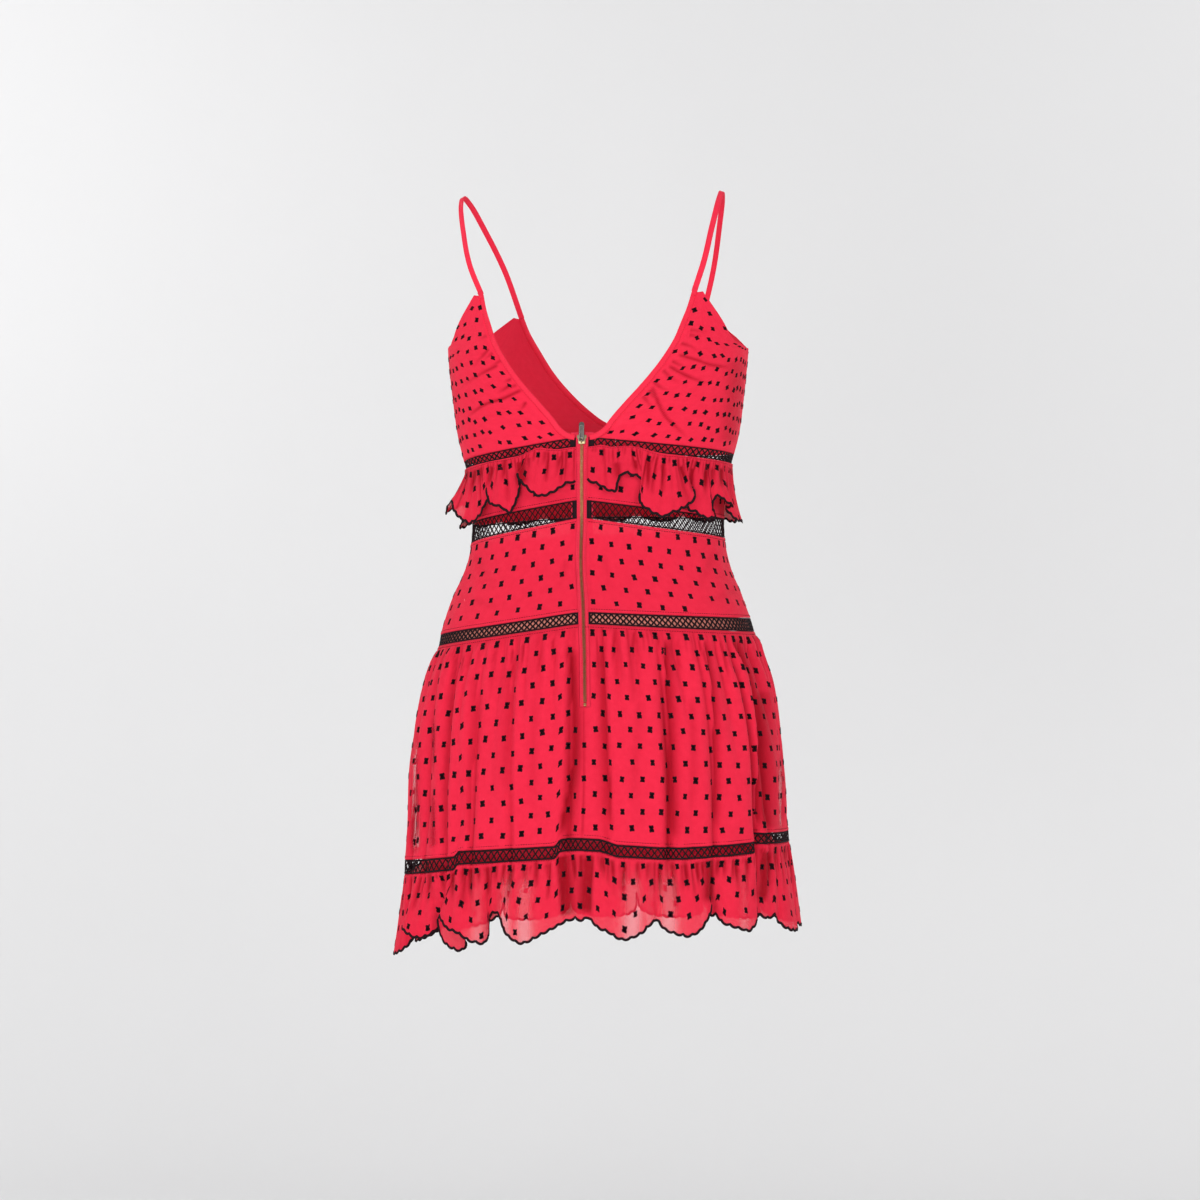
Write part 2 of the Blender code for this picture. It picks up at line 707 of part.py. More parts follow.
def make_hem_ruffle():
    """The frill below the hem lace."""
    turns = fold_columns(1.0, SEAMS["hem_lace_top"].back)
    length, swing = lobe_shape(HEM_RUFFLE, turns)
    top = seam_height("hem_lace_low", turns) - SEAM_GAP / 2
    down = np.array(HEM_RUFFLE_ROWS)[:, None]
    out = skirt_out(turns, 1.0) * (1 - down) + SKIRT_PUFF * down + swing * down ** RUFFLE_CURVE
    return cloth("hem_ruffle", place(turns, top - length * down, out), "georgette", closed=True)


def edge_line(edge, shares):
    """Points at shares of an edge's length: across, height, and the unit step off it."""
    across, height = column(edge, "across"), column(edge, "height")
    lengths = np.concatenate([[0], np.cumsum(np.hypot(np.diff(across), np.diff(height)))])
    fine = np.linspace(0, lengths[-1], FINE_STEPS)
    across, height = smooth(fine, lengths, across), smooth(fine, lengths, height)
    step_x, step_z = np.gradient(across), np.gradient(height)
    size = np.hypot(step_x, step_z)
    stops = np.asarray(shares, float) * lengths[-1]
    return tuple(np.interp(stops, fine, v) for v in (across, height, step_z / size, -step_x / size))


def neck_line(front, shares, inset, side):
    """A line that runs a step inside the neck edge: turns and heights, above the lace."""
    across, height, off_x, off_z = edge_line(FRONT_NECK if front else BACK_NECK, shares)
    across, height = across + inset * off_x, height + inset * off_z
    if front:
        across = np.where(np.asarray(shares) == 0, SEAM_GAP / 2, across)
    turns = turn_at(across, height)
    turns = math.pi - turns if front else turns
    return turns, np.maximum(height, seam_height("bust_lace_top", side * turns) + SEAM_GAP / 2)


def panel_start(side):
    """The share of the back neck edge where the panel's corner meets the bust lace."""
    shares = np.linspace(0, GATHER_FROM, FINE_STEPS)
    turns, heights = neck_line(False, shares, BINDING_WIDTH + BINDING_GAP, side)
    above = heights - seam_height("bust_lace_top", side * turns) > SEAM_GAP
    return shares[np.argmax(above)]


def neck_shares(front, side):
    """Shares of the neck edge at the rows of a panel."""
    if front:
        return np.array(FRONT_NECK_ROWS)
    start = panel_start(side)
    return start + (1 - start) * back_rows()


def back_rows():
    """Rows of a back panel: a crest and a trough for each gather, and plain ones."""
    gathers = np.linspace(GATHER_FROM, GATHER_TO, 2 * BACK_GATHERS + 1)
    return np.concatenate([PLAIN_ROWS_BELOW, gathers, PLAIN_ROWS_ABOVE])


def make_binding(side, front):
    """The binding along one half of the neck edge."""
    shares = neck_shares(front, side)
    if not front:
        shares = np.concatenate([[0.0, shares[0] / 2], shares])
    lines = []
    for inset in (0.0, BINDING_WIDTH):
        turns, heights = neck_line(front, shares, inset, side)
        lines.append(place(side * turns, heights, BINDING_PROUD))
    name = "neck_binding_%s_%s" % ("front" if front else "back", "left" if side > 0 else "right")
    points = np.stack(lines, axis=1)[::-1]
    return cloth(name, points, "binding", BINDING_THICK, side=-side if front else side)


def outer_edge(armhole, front, side, shares):
    """The side seam and the armhole as one line: turns and heights."""
    low_turn = math.pi / 2 - SEAM_GAP / 2 / float(figure_size(SIDE_TOP, "back"))
    bottom = float(seam_height("bust_lace_top", side * math.pi / 2)) + SEAM_GAP
    across, height = column(armhole, "across"), column(armhole, "height")
    turns = np.concatenate([[low_turn, low_turn], turn_at(across, height)])
    heights = np.concatenate([[bottom, SIDE_TOP], height])
    round_arm = np.diff(turns) * float(figure_size(SIDE_TOP, "back"))
    lengths = np.concatenate([[0], np.cumsum(np.hypot(round_arm, np.diff(heights)))])
    stops = np.asarray(shares) * lengths[-1]
    stops[np.argmin(np.abs(stops - lengths[1]))] = lengths[1]
    turns, heights = np.interp(stops, lengths, turns), np.interp(stops, lengths, heights)
    return (math.pi - turns if front else turns), heights


def panel_grid(side, front, shares, columns, armhole):
    """Turns and heights of a bodice panel, between its inner and outer edges."""
    in_turn, in_height = neck_line(front, neck_shares(front, side), BINDING_WIDTH + BINDING_GAP, side)
    if front:
        in_turn = np.insert(in_turn, 0, in_turn[0])
        in_height = np.insert(in_height, 0, seam_height("bust_lace_top", side * in_turn[0]) + SEAM_GAP)
    out_turn, out_height = outer_edge(armhole, front, side, shares)
    u, v = np.asarray(columns)[None, :], np.asarray(shares)[:, None]
    turns = in_turn[:, None] + (out_turn - in_turn)[:, None] * u
    heights = in_height[:, None] + (out_height - in_height)[:, None] * u
    seam = seam_height("bust_lace_top", side * turns[0]) + SEAM_GAP
    return side * turns, heights + (seam - heights[0])[None, :] * (1 - v) ** 2, u, v


def make_back_panel(side):
    """A back panel, with fine gathers fanning out from the neck binding."""
    shares = back_rows()
    turns, heights, u, v = panel_grid(side, False, shares, BACK_COLUMNS, BACK_ARMHOLE)
    order = np.arange(len(shares)) - len(PLAIN_ROWS_BELOW)
    inside = (order >= 0) & (order <= 2 * BACK_GATHERS)
    steps = np.where(order % 2 == 1, -GATHER_DEPTH, GATHER_RISE) * inside
    fade = np.clip(1 - u / GATHER_REACH, 0, 1) * ease(u / GATHER_INSIDE)
    points = place(turns, heights, steps[:, None] * fade)[::-1]
    name = "bodice_back_left" if side > 0 else "bodice_back_right"
    return cloth(name, points, "georgette", side=side)


def make_front_panel(side):
    """A plain front panel with one dart under the bust."""
    turns, heights, u, v = panel_grid(side, True, FRONT_ROWS, FRONT_COLUMNS, FRONT_ARMHOLE)
    dart = np.zeros(len(FRONT_COLUMNS))
    dart[DART_COLUMN] = -DART_DEPTH
    points = place(turns, heights, dart[None, :] * np.clip(1 - v / DART_TOP, 0, 1))[::-1]
    name = "bodice_front_left" if side > 0 else "bodice_front_right"
    return cloth(name, points, "georgette", side=-side)


def strap_end(side, front):
    """The underside of a strap's end, in line with the binding and just clear of it."""
    last, before = [], []
    for inset in (0.0, BINDING_WIDTH):
        turns, heights = neck_line(front, (1.0, 1.0 - END_STEP), inset, side)
        ends = place(side * turns, heights, BINDING_PROUD - STRAP_THICK)
        last.append(ends[0])
        before.append(ends[1])
    middle, along = np.mean(last, axis=0), np.mean(last, axis=0) - np.mean(before, axis=0)
    return middle + along * STRAP_GAP / np.linalg.norm(along)


def make_strap(side):
    """A narrow strap over the shoulder, from the back point to the front point."""
    across = side * column(STRAP_PATH, "left" if side > 0 else "right")
    route = np.stack([across, column(STRAP_PATH, "depth"), column(STRAP_PATH, "height")], axis=1)
    route = np.concatenate([[strap_end(side, False)], route, [strap_end(side, True)]])
    lengths = np.concatenate([[0], np.cumsum(np.linalg.norm(np.diff(route, axis=0), axis=1))])
    stops = np.linspace(0, lengths[-1], STRAP_ROWS + 1)
    path = np.stack([smooth(stops, lengths, values) for values in route.T], axis=1)
    middle = np.array(SHOULDER_MIDDLE) * np.array([side, 1, 1])
    tangent = np.gradient(path, axis=0)
    tangent /= np.linalg.norm(tangent, axis=1)[:, None]
    away = path - middle
    away -= np.sum(away * tangent, axis=1)[:, None] * tangent
    away /= np.linalg.norm(away, axis=1)[:, None]
    width = np.cross(tangent, away) * STRAP_WIDTH / 2
    name = "strap_left" if side > 0 else "strap_right"
    return cloth(name, np.stack([path - width, path + width], axis=1), "binding", STRAP_THICK, offset=1.0)


def zip_points(offsets, heights, proud):
    """Points beside the zip's centre line, from steps across and heights."""
    half = figure_size(heights, "half_width")
    return place(offsets / half, heights, proud)


def make_tape(side):
    """One zip tape, opening a little at the top."""
    heights = np.linspace(TAPE_TOP, TAPE_BOTTOM, TAPE_ROWS + 1)
    heights = np.insert(heights, 1, TAPE_TOP - TAPE_FLARE_HEIGHT)
    open_top = np.clip(1 - (TAPE_TOP - heights) / TAPE_FLARE_HEIGHT, 0, 1)
    inner = TAPE_INNER + (TAPE_FLARE - TAPE_INNER) * open_top
    outer = np.full_like(inner, TAPE_OUTER)
    lines = [zip_points(side * step, heights, TAPE_PROUD) for step in (inner, outer)]
    name = "zip_tape_left" if side > 0 else "zip_tape_right"
    return cloth(name, np.stack(lines, axis=1), "tape", TAPE_THICK, side=side)


def make_chain():
    """The closed row of teeth as one plain strip."""
    heights = np.linspace(CHAIN_TOP, CHAIN_BOTTOM, TAPE_ROWS)
    lines = [zip_points(step, heights, CHAIN_PROUD) for step in (-CHAIN_HALF, CHAIN_HALF)]
    return cloth("zip_chain", np.stack(lines, axis=1), "brass", CHAIN_THICK)


def slider_frame():
    """The slider's own frame: Y out of the back, Z up along the zip, in metres."""
    here, above = (zip_points(0.0, SLIDER_HEIGHT + step, 0.0) for step in (0.0, SLIDER_LENGTH / 2))
    up = Vector(above - here).normalized()
    out = Vector((1, 0, 0)).cross(up).normalized() * -1
    side = out.cross(up)
    turn = Matrix((side, out, up)).transposed().to_4x4()
    return Matrix.Translation(Vector(here) * MM) @ turn


def box(name, low, high, frame, finish=None, lower_width=None):
    """A box from its two corners in a frame; lower_width narrows its lower end."""
    bm = bmesh.new()
    bmesh.ops.create_cube(bm, size=1.0)
    size, middle = Vector(high) - Vector(low), (Vector(high) + Vector(low)) / 2
    for vert in bm.verts:
        vert.co = Vector([vert.co[i] * size[i] + middle[i] for i in range(3)])
        if lower_width and vert.co.z < middle.z:
            vert.co.x *= lower_width / size.x
    bmesh.ops.transform(bm, matrix=frame @ Matrix.Scale(MM, 4), verts=bm.verts)
    bmesh.ops.recalc_face_normals(bm, faces=bm.faces)
    mesh = bpy.data.meshes.new(name)
    bm.to_mesh(mesh)
    bm.free()
    obj = bpy.data.objects.new(name, mesh)
    bpy.data.collections[COLLECTION if finish else CUTTERS].objects.link(obj)
    if finish:
        give_finish(obj, finish)
    else:
        obj.hide_render = True
        obj.display_type = "WIRE"
    return obj


def join_with(obj, other, operation="UNION"):
    """Join another shape to an object, or cut it away."""
    step = obj.modifiers.new(other.name, "BOOLEAN")
    step.operation = operation
    step.object = other


def make_slider(frame):
    """The slider: two plates joined by a post, with the bridge that holds the pull."""
    half, length = SLIDER_TOP_WIDTH / 2, SLIDER_LENGTH / 2
    face_low = TAPE_PROUD + LAYER_GAP
    face = face_low + PLATE
    under = TAPE_PROUD - TAPE_THICK - LAYER_GAP
    slider = box("zip_slider", (-half, face_low, -length), (half, face, length), frame, "brass",
                 SLIDER_LOW_WIDTH)
    under_plate = box("slider_under_plate", (-half, under - PLATE, -length), (half, under, length), frame,
                      lower_width=SLIDER_LOW_WIDTH)
    post = box("slider_post", (-POST_HALF, under - PLATE / 2, POST_LOW_STEP - length),
               (POST_HALF, face_low + PLATE / 2, length - POST_TOP_STEP), frame)
    bridge_top = face + PIVOT_LIFT + BRIDGE_REACH
    bridge = box("slider_bridge", (-BRIDGE_WIDTH / 2, face - PLATE / 2, -PIVOT_DROP - BRIDGE_REACH),
                 (BRIDGE_WIDTH / 2, bridge_top, -PIVOT_DROP + BRIDGE_REACH), frame)
    eye = box("slider_eye", (-BRIDGE_WIDTH, face, -PIVOT_DROP - BRIDGE_INNER),
              (BRIDGE_WIDTH, face + PIVOT_LIFT + BRIDGE_INNER, -PIVOT_DROP + BRIDGE_INNER), frame)
    join_with(bridge, eye, "DIFFERENCE")
    for other in (under_plate, post, bridge):
        join_with(slider, other)
    return slider


def make_pull(frame):
    """The pull tab, standing up from its end rail under the bridge."""
    face = TAPE_PROUD + LAYER_GAP + PLATE
    pivot = frame @ Matrix.Translation(Vector((0, face + PIVOT_LIFT, -PIVOT_DROP)) * MM)
    half, thick = TAB_WIDTH / 2, TAB_THICK / 2
    arc = [(half * math.cos(a), TAB_LENGTH - TAB_END_RAIL - half + half * math.sin(a))
           for a in np.linspace(0, math.pi, TAB_ARC_POINTS)]
    outline = [(-half, -TAB_END_RAIL), (half, -TAB_END_RAIL)] + arc
    bm = bmesh.new()
    ring = bm.faces.new([bm.verts.new((x * MM, -thick * MM, z * MM)) for x, z in outline])
    grown = bmesh.ops.extrude_face_region(bm, geom=[ring])["geom"]
    moved = [v for v in grown if isinstance(v, bmesh.types.BMVert)]
    bmesh.ops.translate(bm, verts=moved, vec=(0, TAB_THICK * MM, 0))
    bmesh.ops.recalc_face_normals(bm, faces=bm.faces)
    mesh = bpy.data.meshes.new("zip_pull")
    bm.to_mesh(mesh)
    bm.free()
    pull = bpy.data.objects.new("zip_pull", mesh)
    bpy.data.collections[COLLECTION].objects.link(pull)
    pull.matrix_world = pivot
    give_finish(pull, "gunmetal")
    slot = box("pull_slot", (-TAB_SLOT_HALF, -TAB_THICK, TAB_END_RAIL),
               (TAB_SLOT_HALF, TAB_THICK, TAB_SLOT_END), pivot)
    join_with(pull, slot, "DIFFERENCE")
    return pull


def make_stop():
    """The stop at the bottom of the teeth."""
    top = CHAIN_BOTTOM - LAYER_GAP
    heights = np.array([top, top - STOP_HEIGHT])
    lines = [zip_points(step, heights, STOP_PROUD) for step in (-STOP_HALF, STOP_HALF)]
    return cloth("zip_bottom_stop", np.stack(lines, axis=1), "brass", STOP_THICK)


def clear_scene():
    """Remove what the file opened with, and make the two collections."""
    for obj in list(bpy.data.objects):
        bpy.data.objects.remove(obj, do_unlink=True)
    for name in (COLLECTION, CUTTERS):
        made = bpy.data.collections.new(name)
        bpy.context.scene.collection.children.link(made)


def main():
    """Build the dress."""
    clear_scene()
    for side in (1, -1):
        make_strap(side)
        make_back_panel(side)
        make_front_panel(side)
        make_binding(side, False)
        make_binding(side, True)
        make_bust_lace(side)
        make_tape(side)
    make_upper_ruffle()
    make_bands()
    make_skirt()
    make_lining()
    make_hem_lace()
    make_hem_ruffle()
    make_chain()
    frame = slider_frame()
    make_slider(frame)
    make_pull(frame)
    make_stop()
    bpy.context.view_layer.update()


main()
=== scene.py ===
"""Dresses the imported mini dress: fine cloth, lattice lace, frills, spots, stitching and zip.

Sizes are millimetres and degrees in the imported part's frame until a mesh is made. A point
of cloth has a turn round the body from the centre back towards the wearer's left, a height,
and an outward step from the general figure that the dress is cut for. Picture steps are
1200ths of the picture's side, as the camera sees the dress.
"""
import logging
import math
from dataclasses import dataclass
from enum import Enum
from typing import Callable, NamedTuple, Optional, Sequence

import bmesh
import bpy
import numpy as np
from mathutils import Matrix, Vector


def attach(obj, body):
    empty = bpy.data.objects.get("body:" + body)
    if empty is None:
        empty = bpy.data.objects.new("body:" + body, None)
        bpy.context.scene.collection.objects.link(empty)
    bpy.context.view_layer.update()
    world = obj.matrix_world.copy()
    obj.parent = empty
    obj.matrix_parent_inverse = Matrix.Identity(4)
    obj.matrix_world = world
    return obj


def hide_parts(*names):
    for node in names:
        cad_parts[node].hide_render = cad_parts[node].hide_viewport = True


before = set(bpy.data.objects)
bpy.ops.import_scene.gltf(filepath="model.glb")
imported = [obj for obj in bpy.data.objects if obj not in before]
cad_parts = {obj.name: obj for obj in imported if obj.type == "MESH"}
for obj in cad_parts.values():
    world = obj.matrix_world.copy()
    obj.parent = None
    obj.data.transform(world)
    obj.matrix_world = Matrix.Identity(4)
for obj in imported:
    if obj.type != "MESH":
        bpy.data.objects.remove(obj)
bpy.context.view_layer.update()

MM = 0.001
FULL = 2 * math.pi
BODY = "dress"
PULL_BODY = "zip_pull"
SHELL = 0.3
SEAM_GAP = 0.3
CAD_CLOTH = 1.2
LAYER_GAP = 0.3
ZIP_HALF = 6.6
WELT_HALF = 5.3
DEGREE_MM = 3.0
SEAM_ROWS = (1.2, 2.3, 2.9, 3.5, 5.0)
SEAM_SEWING = 3.1
SEAM_STITCH = (2.3, 0.3, 0.85)
HEAD_STITCH = (2.3, 0.3, 0.5)
EDGE_STITCH = (2.0, 0.7, 0.3)
TAPE_STITCH = (2.0, 0.6, 0.35)

Array = np.ndarray
Rows = tuple[tuple[float, ...], ...]
Colour = tuple[float, float, float]
Path = tuple[Array, Array]

log = logging.getLogger("dress")


class Side(Enum):
    """The wearer's left is at +X."""

    LEFT = 1
    RIGHT = -1

    @property
    def word(self) -> str:
        """The side's name as the nodes use it."""
        return self.name.lower()


class Face(Enum):
    """Which half of the bodice a piece is on."""

    BACK = "back"
    FRONT = "front"


def smooth(x: Array, xs: Sequence[float], ys: Sequence[float]) -> Array:
    """A cubic curve through a table's rows, with slopes from their neighbours.

    Args:
        x: where the curve is read.
        xs: the table's positions, in any order.
        ys: the table's values.

    Returns:
        The curve's values at x, held level past the table's ends.
    """
    xs, ys = np.asarray(xs, float), np.asarray(ys, float)
    order = np.argsort(xs)
    xs, ys = xs[order], ys[order]
    slope = np.gradient(ys, xs)
    x = np.clip(x, xs[0], xs[-1])
    i = np.clip(np.searchsorted(xs, x) - 1, 0, len(xs) - 2)
    step = xs[i + 1] - xs[i]
    s = (x - xs[i]) / step
    start = (2 * s ** 3 - 3 * s ** 2 + 1) * ys[i] + (s ** 3 - 2 * s ** 2 + s) * step * slope[i]
    return start + (3 * s ** 2 - 2 * s ** 3) * ys[i + 1] + (s ** 3 - s ** 2) * step * slope[i + 1]


def ease(x: Array) -> Array:
    """A smooth rise from 0 to 1 as x goes from 0 to 1."""
    x = np.clip(x, 0.0, 1.0)
    return x * x * (3 - 2 * x)


def columns_of(rows: Rows) -> Array:
    """A table's columns as arrays."""
    return np.array(rows, float).T


def run_lengths(points: Array) -> Array:
    """Lengths along a path up to each of its points."""
    return np.concatenate([[0], np.cumsum(np.linalg.norm(np.diff(points, axis=0), axis=1))])


@dataclass(frozen=True)
class Figure:
    """The general figure that the dress is cut for, with the line of the zip on it.

    rings: height, half width, depth at the back and depth at the front.
    zip_line: height, and how far the centre back lies to the wearer's left there.
    """

    power: float = 2.5
    rings: Rows = (
        (-100, 158.0, 86, 106), (-130, 158.0, 91, 116), (-168, 157.0, 95, 124),
        (-218, 151.7, 94, 122), (-252, 147.0, 91, 110), (-286, 139.0, 88, 98),
        (-353, 132.5, 80, 88), (-386, 137.0, 86, 91), (-420, 150.7, 100, 96),
        (-454, 162.7, 115, 101), (-480, 168.0, 120, 105), (-504, 176.0, 125, 111),
        (-538, 183.5, 130, 118), (-588, 190.5, 136, 125), (-656, 194.0, 140, 131),
        (-689, 197.0, 143, 134), (-800, 199.0, 147, 138),
    )
    zip_line: Rows = (
        (-110, 0.0), (-255, 2.0), (-345, 4.0), (-384, 4.0), (-440, -2.5), (-535, -7.5), (-800, -7.5),
    )

    def size(self, height: Array, column: int) -> Array:
        """A size of the figure at a height: 1 half width, 2 back depth, 3 front depth."""
        table = columns_of(self.rings)
        return smooth(height, table[0], table[column])

    def rounding(self, turn: Array) -> Array:
        """How much a section bulges past an ellipse: a superellipse of the given power."""
        powers = np.abs(np.sin(turn)) ** self.power + np.abs(np.cos(turn)) ** self.power
        return powers ** (-1 / self.power)

    def place(self, turn: Array, height: Array, out: Array = 0.0) -> Array:
        """Points of the dress: a superellipse section at each height, grown by the outward step.

        Args:
            turn: radians from the centre back towards the wearer's left.
            height: mm.
            out: mm outwards from the figure.

        Returns:
            Points in mm, with one more axis than the inputs.
        """
        turn, height, out = np.broadcast_arrays(*(np.asarray(v, float) for v in (turn, height, out)))
        half = self.size(height, 1)
        shift = columns_of(self.zip_line)
        turn = turn + smooth(height, shift[0], shift[1]) / half
        depth = np.where(np.cos(turn) > 0, self.size(height, 2), self.size(height, 3))
        bulge = self.rounding(turn)
        across = (half + out) * bulge * np.sin(turn)
        return np.stack([across, (depth + out) * bulge * np.cos(turn), height], axis=-1)

    def turn_at(self, across: Array, height: Array) -> Array:
        """The turn of a point of the back that lies a given step across from the zip."""
        turns = np.linspace(0, math.pi / 2, 181)
        reach = self.rounding(turns) * np.sin(turns)
        return np.interp(across / self.size(height, 1), reach, turns)

    def beside_zip(self, steps: Array, heights: Array, proud: Array) -> Array:
        """Points beside the zip's centre line, from steps across and heights."""
        return self.place(steps / self.size(heights, 1), heights, proud)


FIGURE = Figure()


@dataclass(frozen=True)
class Eye:
    """Where the picture is taken from, and where points of the dress show in it."""

    lens: float = 85.7
    film: float = 36.0
    away: float = 3000.0
    swing: float = math.radians(9.0)
    height: float = -425.0
    middle: tuple[float, float] = (598.0, 600.0)
    steps: float = 1200.0

    def seen(self, points: Array) -> tuple[Array, Array]:
        """Picture steps of points: their place across and up, made smaller by their distance.

        Args:
            points: mm.

        Returns:
            Steps from the picture's left and from its top.
        """
        x, y, z = np.moveaxis(points, -1, 0)
        depth = self.away + x * math.sin(self.swing) - y * math.cos(self.swing)
        scale = self.lens / self.film * self.steps / depth
        across = x * math.cos(self.swing) + y * math.sin(self.swing)
        return self.middle[0] - across * scale, self.middle[1] - (z - self.height) * scale

    def facing(self, turns: Array) -> Array:
        """1 on cloth that faces the camera, easing to 0 round the sides."""
        return ease(3.0 * np.cos(turns + self.swing) + 0.4)

    def make_camera(self) -> None:
        """The camera, level with the middle of the dress and looking at the body's axis."""
        data = bpy.data.cameras.new("camera")
        data.lens = self.lens
        data.sensor_width = self.film
        data.shift_x = (self.steps / 2 - self.middle[0]) / self.steps
        camera = bpy.data.objects.new("camera", data)
        place = Vector((-math.sin(self.swing), math.cos(self.swing), 0)) * self.away * MM
        camera.location = place + Vector((0, 0, self.height * MM))
        camera.rotation_euler = (-place).to_track_quat("-Z", "Y").to_euler()
        bpy.context.scene.collection.objects.link(camera)
        bpy.context.scene.camera = camera


EYE = Eye()


class Crease(NamedTuple):
    """A line in the cloth as the camera sees it.

    depth is in mm, left and right are its widths to each side in picture steps, path holds
    its places in the picture, tail is the share of its length over which it fades, tone
    is painted shade that darkens the cloth's colour along the line, and sheer thins it. A
    crease with no depth is only painted shade or thinning.
    """

    depth: float
    left: float
    right: float
    path: Rows
    tail: float = 1.0
    tone: float = 0.5
    sheer: float = 0.0


def creased(points: Array, creases: Sequence[Crease]) -> tuple[Array, Array, Array]:
    """What creases do to cloth: a bell across each line, with its own width to each side.

    Args:
        points: mm, before they are pressed.
        creases: lines in picture steps.

    Returns:
        Steps inwards in mm, and shares from 0 to 1 of painted shade and of thinning.
    """
    x, y = EYE.seen(points)
    press, tone, sheer = np.zeros((3, *x.shape))
    for crease in creases:
        places = np.array(crease.path, float)
        chord = places[-1] - places[0]
        length = np.hypot(*chord)
        run, rise = chord / length
        along = (x - places[0, 0]) * run + (y - places[0, 1]) * rise
        knots = (places - places[0]) @ np.array([[run, -rise], [rise, run]])
        off = (y - places[0, 1]) * run - (x - places[0, 0]) * rise - smooth(along, *knots.T)
        off = off / np.where(off > 0, crease.left, crease.right)
        hold = ease((along / length + 0.03) / 0.08) * ease((1 - along / length) / crease.tail)
        bell = hold * np.exp(-off ** 2)
        press += crease.depth * bell
        # Painted shade: each crease darkens the cloth's colour along its line.
        tone = np.maximum(tone, crease.tone * bell)
        soft = ease(along / length / 0.3) * hold * np.exp(-np.abs(off) ** 2.4)
        sheer = np.maximum(sheer, crease.sheer * soft)
    return press, tone, sheer


def gathers_at(rows: Rows, depth: float, width: float) -> tuple[Crease, ...]:
    """Short creases that start at a seam: rows of place across, down, length, lean and painted shade."""
    return tuple(Crease(depth, width, width, ((x, y), (x + lean * 0.6, y + long / 2), (x + lean, y + long)),
                        0.7, tone) for x, y, long, lean, tone in rows)


def gathered(across: Array, down: Array, spacing: float, reach: float, seed: int) -> Array:
    """Fine gathers below a seam: sharp grooves at uneven places, each as long as it happens.

    Args:
        across: mm along the seam at each column.
        down: mm below the seam at each row.
        spacing: usual mm between grooves.
        reach: mm down to which the longest groove runs.
        seed: for the uneven places.

    Returns:
        A share from 0 to 1 for each row and column, to be pressed in.
    """
    draw = np.random.default_rng(seed)
    count = max(int((across[-1] - across[0]) / spacing), 1)
    centres = across[0] + (np.arange(count) + 0.5 + draw.uniform(-0.45, 0.45, count)) * spacing
    reaches = reach * draw.uniform(0.2, 1.0, count) ** 1.5
    strengths = draw.uniform(0.3, 1.0, count)
    widths = spacing * draw.uniform(0.18, 0.45, count)
    widths = widths + 0.05 * down[:, None]
    off = across[None, :, None] - centres
    groove = np.clip(1 - np.abs(off) / widths[:, None, :], 0, 1) * strengths
    fade = np.clip(1 - down[:, None] / (reaches + 3.0), 0, 1) ** 0.5
    return (groove * fade[:, None, :]).max(axis=2)


def row_shares(count: int, depth: float) -> Array:
    """Even shares from 0 to 1, with more rows at both seam allowances."""
    close = np.array(SEAM_ROWS) / depth
    return np.unique(np.concatenate([np.linspace(0, 1, count), close, 1 - close]).round(6))


def welt(beside: Array) -> Array:
    """How far cloth stands out where its turned edge lies on the zip's tape, from mm beside it."""
    return 1.5 * (1 - ease(beside / 4.0))


def seam_lip(depth: Array, whole: Array) -> Array:
    """How far the doubled allowance stands out beside a seam, from mm below it and in all."""
    near = np.minimum(depth, whole - depth)
    return 0.4 * (1 - ease((near - 2.3) / 0.9)) * ease(near / 0.8)


@dataclass(frozen=True)
class Seams:
    """Heights of the seams at the centre back and at the wearer's left and right."""

    front_lift: float = 8.0
    softness: float = 0.06
    bust_lace_top: tuple[float, ...] = (-258.8, -281.4, -272.4)
    bust_lace_low: tuple[float, ...] = (-268.4, -289.8, -282.7)
    waist_lace_top: tuple[float, ...] = (-322.8, -345.5, -339.9)
    waist_lace_low: tuple[float, ...] = (-341.2, -367.2, -359.8)
    hip_lace_top: tuple[float, ...] = (-437.1, -462.4, -443.7)
    hip_lace_low: tuple[float, ...] = (-449.2, -474.4, -457.8)
    hem_lace_top: tuple[float, ...] = (-664.9, -695.1, -668.9)
    hem_lace_low: tuple[float, ...] = (-677.8, -710.3, -679.9)

    jogs: Rows = (
        (-180, 0), (-110, 0), (-95, 3.2), (-56, 7.2), (-54.6, 7.2), (-52.9, -1.0), (-40, -3.5), (-25, -5.9),
        (-9.4, -3.8), (-4.5, 1.2), (7.2, 2.9), (8.4, -3.3), (24.3, 1.0), (38, 3.6), (39.2, -1.5), (90, -2.5),
        (120, 0), (180, 0),
    )

    def height(self, name: str, turn: Array) -> Array:
        """A seam falls from the zip to the sides, and crosses the front in a soft curve."""
        back, left, right = getattr(self, name)
        side = np.where(np.sin(turn) > 0, left, right)
        front = (left + right) / 2 + self.front_lift
        fall = np.hypot(np.sin(turn), self.softness) - self.softness
        round_back = back + (side - back) * fall / (math.hypot(1, self.softness) - self.softness)
        return np.where(np.cos(turn) > 0, round_back, front + (side - front) * np.sin(turn) ** 2)

    def sewn(self, name: str, turn: Array) -> Array:
        """A seam as it hangs: the hem lace's seams jog up and down at the skirt's big folds."""
        wrapped = (np.degrees(turn) + 180) % 360 - 180
        jog = np.interp(wrapped, *columns_of(self.jogs)) if name.startswith("hem") else 0.0
        return self.height(name, turn) + jog

    def between(self, top: str, low: str, turns: Array, shares: Array) -> Array:
        """Heights at shares of the way from one seam down to another."""
        upper = self.sewn(top, turns) - SEAM_GAP / 2
        lower = self.sewn(low, turns) + SEAM_GAP / 2
        return upper + (lower - upper) * shares


SEAMS = Seams()


